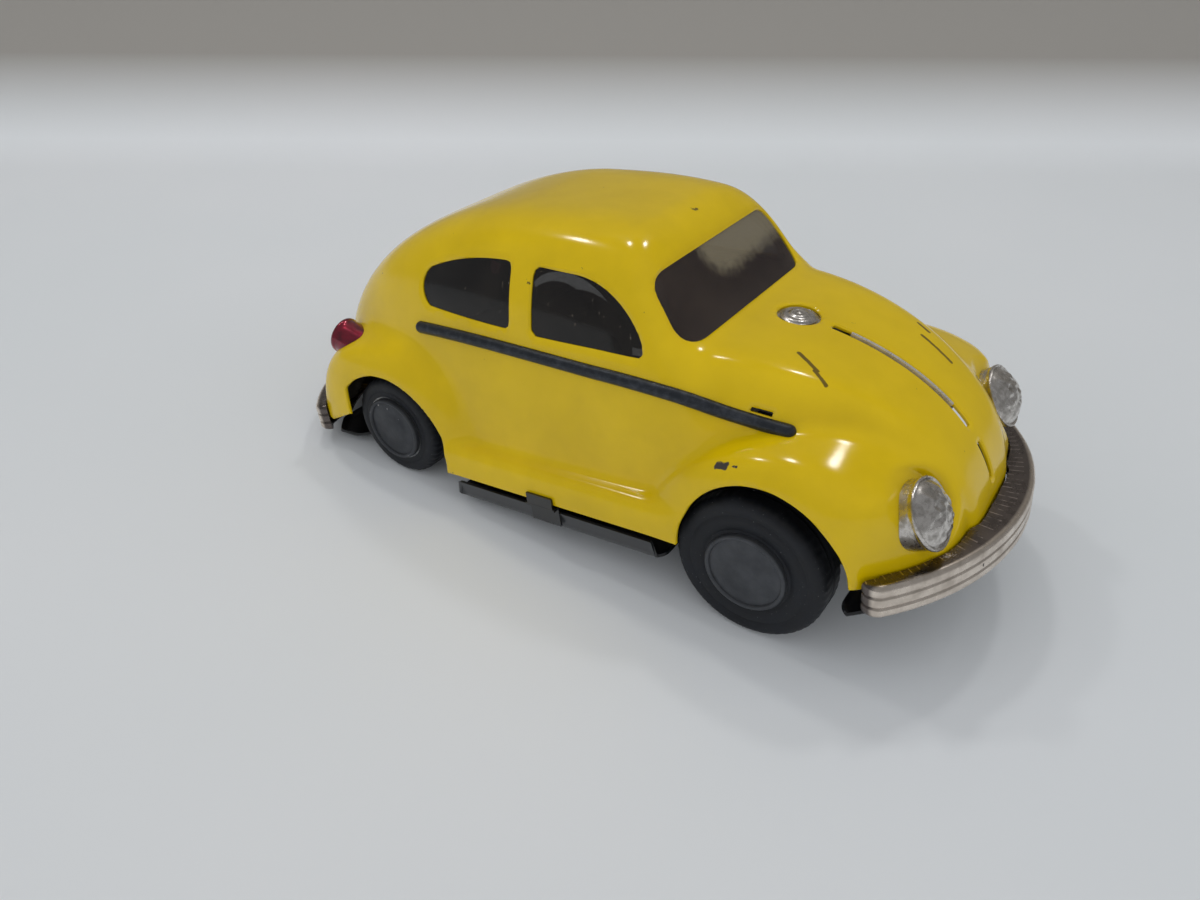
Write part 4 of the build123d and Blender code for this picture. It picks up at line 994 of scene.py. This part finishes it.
def tray_room(points):
    """Distance inside the tray's plan: a spine with wide parts between and beyond the
    wheels, their corners rounded, all inside the bows of the two bumpers."""
    x, y = points[..., 0], np.abs(points[..., 1])
    plan = np.minimum.reduce([slab(x - middle, y, length - r, half - r) - r
                              for middle, length, half, r in tray_parts])
    beyond = np.where(x > 0, np.maximum(x - bumper_centre, 0), np.minimum(x - rear_bumper_centre, 0))
    gear = slab(x - rear_axle[0], points[..., 1] - gear_y, *gear_opening)
    return np.minimum(-np.maximum(plan, np.hypot(beyond, y) - tray_bow), gear)


def tray_grid():
    """Flat points of the tray, closer together towards its sides."""
    half = np.concatenate([np.linspace(0, 29, 40), np.linspace(29.3, 32.6, 16)])
    across = np.concatenate([-half[:0:-1], half])
    grid = np.stack(np.meshgrid(np.linspace(-67, 70.5, 190), across, indexing="ij"), -1)
    return np.concatenate([grid, 0 * grid[..., :1]], -1)


def tray_lift(points):
    """Height of the tray: stepped up behind, its edge rolled up and its sides standing."""
    x, y = points[..., 0], points[..., 1]
    kick = np.clip((kick_from - x) / kick_run, 0, 1)
    side = np.clip(np.abs(y) - side_from, 0, 1) * (np.abs(x - side_middle) < side_half)
    edge = np.clip(1 - tray_room(points) / rolled_run, 0, 1) * (np.abs(y - gear_y) > 3.4)
    return tray_floor + kick_rise * kick * kick * (3 - 2 * kick) + np.maximum(
        rolled_rise * edge ** 2, side_rise * side)


grid = tray_grid()
flat = grid.reshape(-1, 3)
points, faces = cut_away(flat, grid_faces(*grid.shape[:2]), tray_room(flat))
points = np.column_stack([points[:, :2], tray_lift(points)])
slopes = [(tray_lift(points + step) - tray_lift(points - step)) / 0.4
          for step in (np.array([0.2, 0, 0]), np.array([0, 0.2, 0]))]
tray_up = unit(np.stack([-slopes[0], -slopes[1], 1 + 0 * slopes[0]], -1))
tray = walled(points, faces[:, ::-1], -tray_up, tray_wall)


def prism(outline, start, end, side):
    """A convex outline in side view drawn out across one side of the car."""
    x, z = np.asarray(outline, float).T
    count = len(x)
    near, far = (np.stack([x, np.full(count, side * y), z], -1) for y in (start, end))
    turn = np.arange(count)
    after = (turn + 1) % count
    fan = np.array([(0, i, i + 1) for i in range(1, count - 1)])
    faces = np.concatenate([fan, fan[:, ::-1] + count,
                            np.stack([turn, turn + count, after + count], -1),
                            np.stack([turn, after + count, after], -1)])
    return outward(np.concatenate([near, far]), faces)


# Bars between two corners, each given as x, y and z, and made on both sides of the car.
body_tab = [((-3.8, 32.0, -1.0), (3.0, 33.6, -0.5)), ((-3.8, 31.8, -5.0), (3.0, 32.3, -0.5)),
            ((-3.4, 33.12, -1.0), (2.6, 33.58, 1.8))]
front_tongue = [((66, 12.4, -0.75), (74.8, 15.4, -0.25)), ((66, 12.4, -5.8), (66.5, 15.4, -0.3))]
rear_tongue = [((-75.8, 12.4, 3.85), (-64, 15.4, 4.35)), ((-64.5, 12.4, -1.5), (-64, 15.4, 4.3))]
cheek_radius, cheek_foot, cheek_y = 3.5, -5.8, (15.5, 16.0)
cheek = [(front_axle[0] + cheek_radius * math.cos(t), front_axle[1] + cheek_radius * math.sin(t))
         for t in np.linspace(0, np.pi, 12)]
cheek += [(front_axle[0] - cheek_radius, cheek_foot), (front_axle[0] + cheek_radius, cheek_foot)]
chassis = [tray]
for side, _ in sides:
    chassis.append(prism(cheek, *cheek_y, side))
    for (low_x, low_y, low_z), (high_x, high_y, high_z) in body_tab + front_tongue + rear_tongue:
        chassis.append(prism([(low_x, low_z), (high_x, low_z), (high_x, high_z), (low_x, high_z)],
                             low_y, high_y, side))
piece("chassis_tray", *joined(chassis), "body", "black_tin", black, "chassis", sharp=30)

# ================================================================ wheels, axles and drive
# Pressed wheel drums, wire axles, cut gears, side plates and cast flywheels are plain
# metal, oily round the drive.
def bare_metal(name, dark, pale, rough, stretch, scale):
    """Metal with streaks drawn out along one axis, in colour, roughness and height."""
    finish = Finish(name, Metallic=1.0)
    drawn = add_node(finish.tree, "ShaderNodeMapping", {"Vector": finish.where, "Scale": stretch})
    streak = speckle(finish, scale, 0.3, 0.7, 5.0, where=drawn.outputs["Vector"])
    coloured(finish, dark, (streak, pale))
    roughened(finish, streak, rough + 0.12, rough - 0.08)
    bump = add_node(finish.tree, "ShaderNodeBump", {
        "Strength": 0.12, "Distance": 0.0001, "Height": streak})
    finish.tree.links.new(bump.outputs["Normal"], finish.shader.inputs["Normal"])
    return finish


def surfaced(finish, *nodes):
    """Gives CAD nodes that keep their own shape a finish in place of the plain one."""
    for node in nodes:
        mesh = frame["nodes"][node].data
        mesh.materials.clear()
        mesh.materials.append(finish.material)


rolled = bare_metal("rolled_steel_sheet", "#6F7072", "#9C9C9B", 0.38, (1.0, 1.0, 6.0), 300)
drawn_wire = bare_metal("drawn_steel_wire", "#7E7E7D", "#B4B3B0", 0.3, (8.0, 0.6, 8.0), 220)
cut_gear = bare_metal("oiled_gear_steel", "#6B6558", "#A49B86", 0.33, (4.0, 1.0, 4.0), 260)
cast = bare_metal("turned_cast_weight", "#4B4C4F", "#77787A", 0.45, (1.0, 5.0, 1.0), 240)
surfaced(rolled, "front_wheel_left", "front_wheel_right", "rear_wheel_left", "rear_wheel_right",
         "drive_plate_left", "drive_plate_right")
surfaced(drawn_wire, "front_axle", "rear_axle", "idler_arbor", "flywheel_arbor", "drive_rivets")
surfaced(cut_gear, "axle_gear", "idler_pinion", "idler_gear", "flywheel_pinion")
surfaced(cast, "flywheel_left", "flywheel_right")

# ================================================================ floor, lamps, camera
# The car stands on a pale matt sheet that curves up behind it, under a row of small
# ceiling lamps and the soft light of a room.
camera_at = np.array([0.084241, -0.135129, 0.116900])
camera_forward = np.array([-0.46205191, 0.67165423, -0.57912747])
paper = Finish("pale_paper", Roughness=0.85)
height = add_node(paper.tree, "ShaderNodeSeparateXYZ", {"Vector": paper.where}).outputs["Z"]
# Where the sheet rises behind the car it turns a darker warm grey: painted shade on its upright part.
painted_wall_shade = add_node(paper.tree, "ShaderNodeMapRange", {
    "Value": height, "From Min": 0.004, "From Max": 0.03}).outputs["Result"]
coloured(paper, "#E3E7E9", (speckle(paper, 4, 0.3, 0.7), "#E9EBED"), (painted_wall_shade, "#9A9690"))


def sweep(turn_at=0.36, bend=0.09, width=1.6, near=1.2, steps=48):
    """Flat sheet that bends up through a quarter circle beyond the car, square to the view."""
    away = unit(camera_forward * (1, 1, 0))
    across = np.array([-away[1], away[0], 0])
    arc = np.linspace(0, np.pi / 2, steps)
    run = np.concatenate([[-near], turn_at + bend * np.sin(arc), [turn_at + bend]])
    rise = np.concatenate([[0], bend * (1 - np.cos(arc)), [1.5]])
    foot = camera_at * (1, 1, 0)
    spine = foot + run[:, None] * away + rise[:, None] * np.array([0, 0, 1.0])
    grid = spine[:, None] + np.linspace(-width, width, 9)[None, :, None] * across
    return grid.reshape(-1, 3), grid_faces(*grid.shape[:2])


floor_object = surface("floor", *sweep(), paper)


def area_lamp(name, at, size, power, aim=(0, 0, 0.03)):
    """A round soft lamp at a place, turned to the middle of the car."""
    lamp = bpy.data.lights.new(name, "AREA")
    lamp.shape = "DISK"
    lamp.size = size
    lamp.energy = power
    made = bpy.data.objects.new(name, lamp)
    made.location = at
    made.rotation_euler = mathutils.Vector(np.subtract(aim, at)).to_track_quat("-Z", "Y").to_euler()
    bpy.context.scene.collection.objects.link(made)


for number, (x, y) in enumerate(((-0.42, -0.05), (-0.2, 0.12), (0.02, 0.29))):
    area_lamp(f"ceiling_lamp_{number}", (x, y, 0.62), 0.06, 0.32)
area_lamp("fill_lamp", (0.65, -0.45, 0.7), 2.4, 0.6)

# The room lights everything evenly, but reflects in the gloss as a duller grey.
world = bpy.data.worlds.new("studio")
bpy.context.scene.world = world
world.use_nodes = True
tree = world.node_tree
room = tree.nodes["Background"]
path = add_node(tree, "ShaderNodeLightPath")
level = add_node(tree, "ShaderNodeMapRange", {"Value": path.outputs["Is Glossy Ray"],
                                              "To Min": 0.77, "To Max": 0.27})
room.inputs["Color"].default_value = (0.9, 0.92, 0.95, 1)
tree.links.new(level.outputs["Result"], room.inputs["Strength"])

camera = bpy.data.cameras.new("camera")
camera.lens = 26.77
camera.sensor_width = 36
camera_object = bpy.data.objects.new("camera", camera)
turn = mathutils.Vector(camera_forward).to_track_quat("-Z", "Y")
camera_object.location = camera_at
camera_object.rotation_mode = "QUATERNION"
camera_object.rotation_quaternion = turn @ mathutils.Quaternion((0, 0, 1), math.radians(0.275))
bpy.context.scene.collection.objects.link(camera_object)
bpy.context.scene.camera = camera_object
bpy.context.scene.view_settings.view_transform = "Standard"
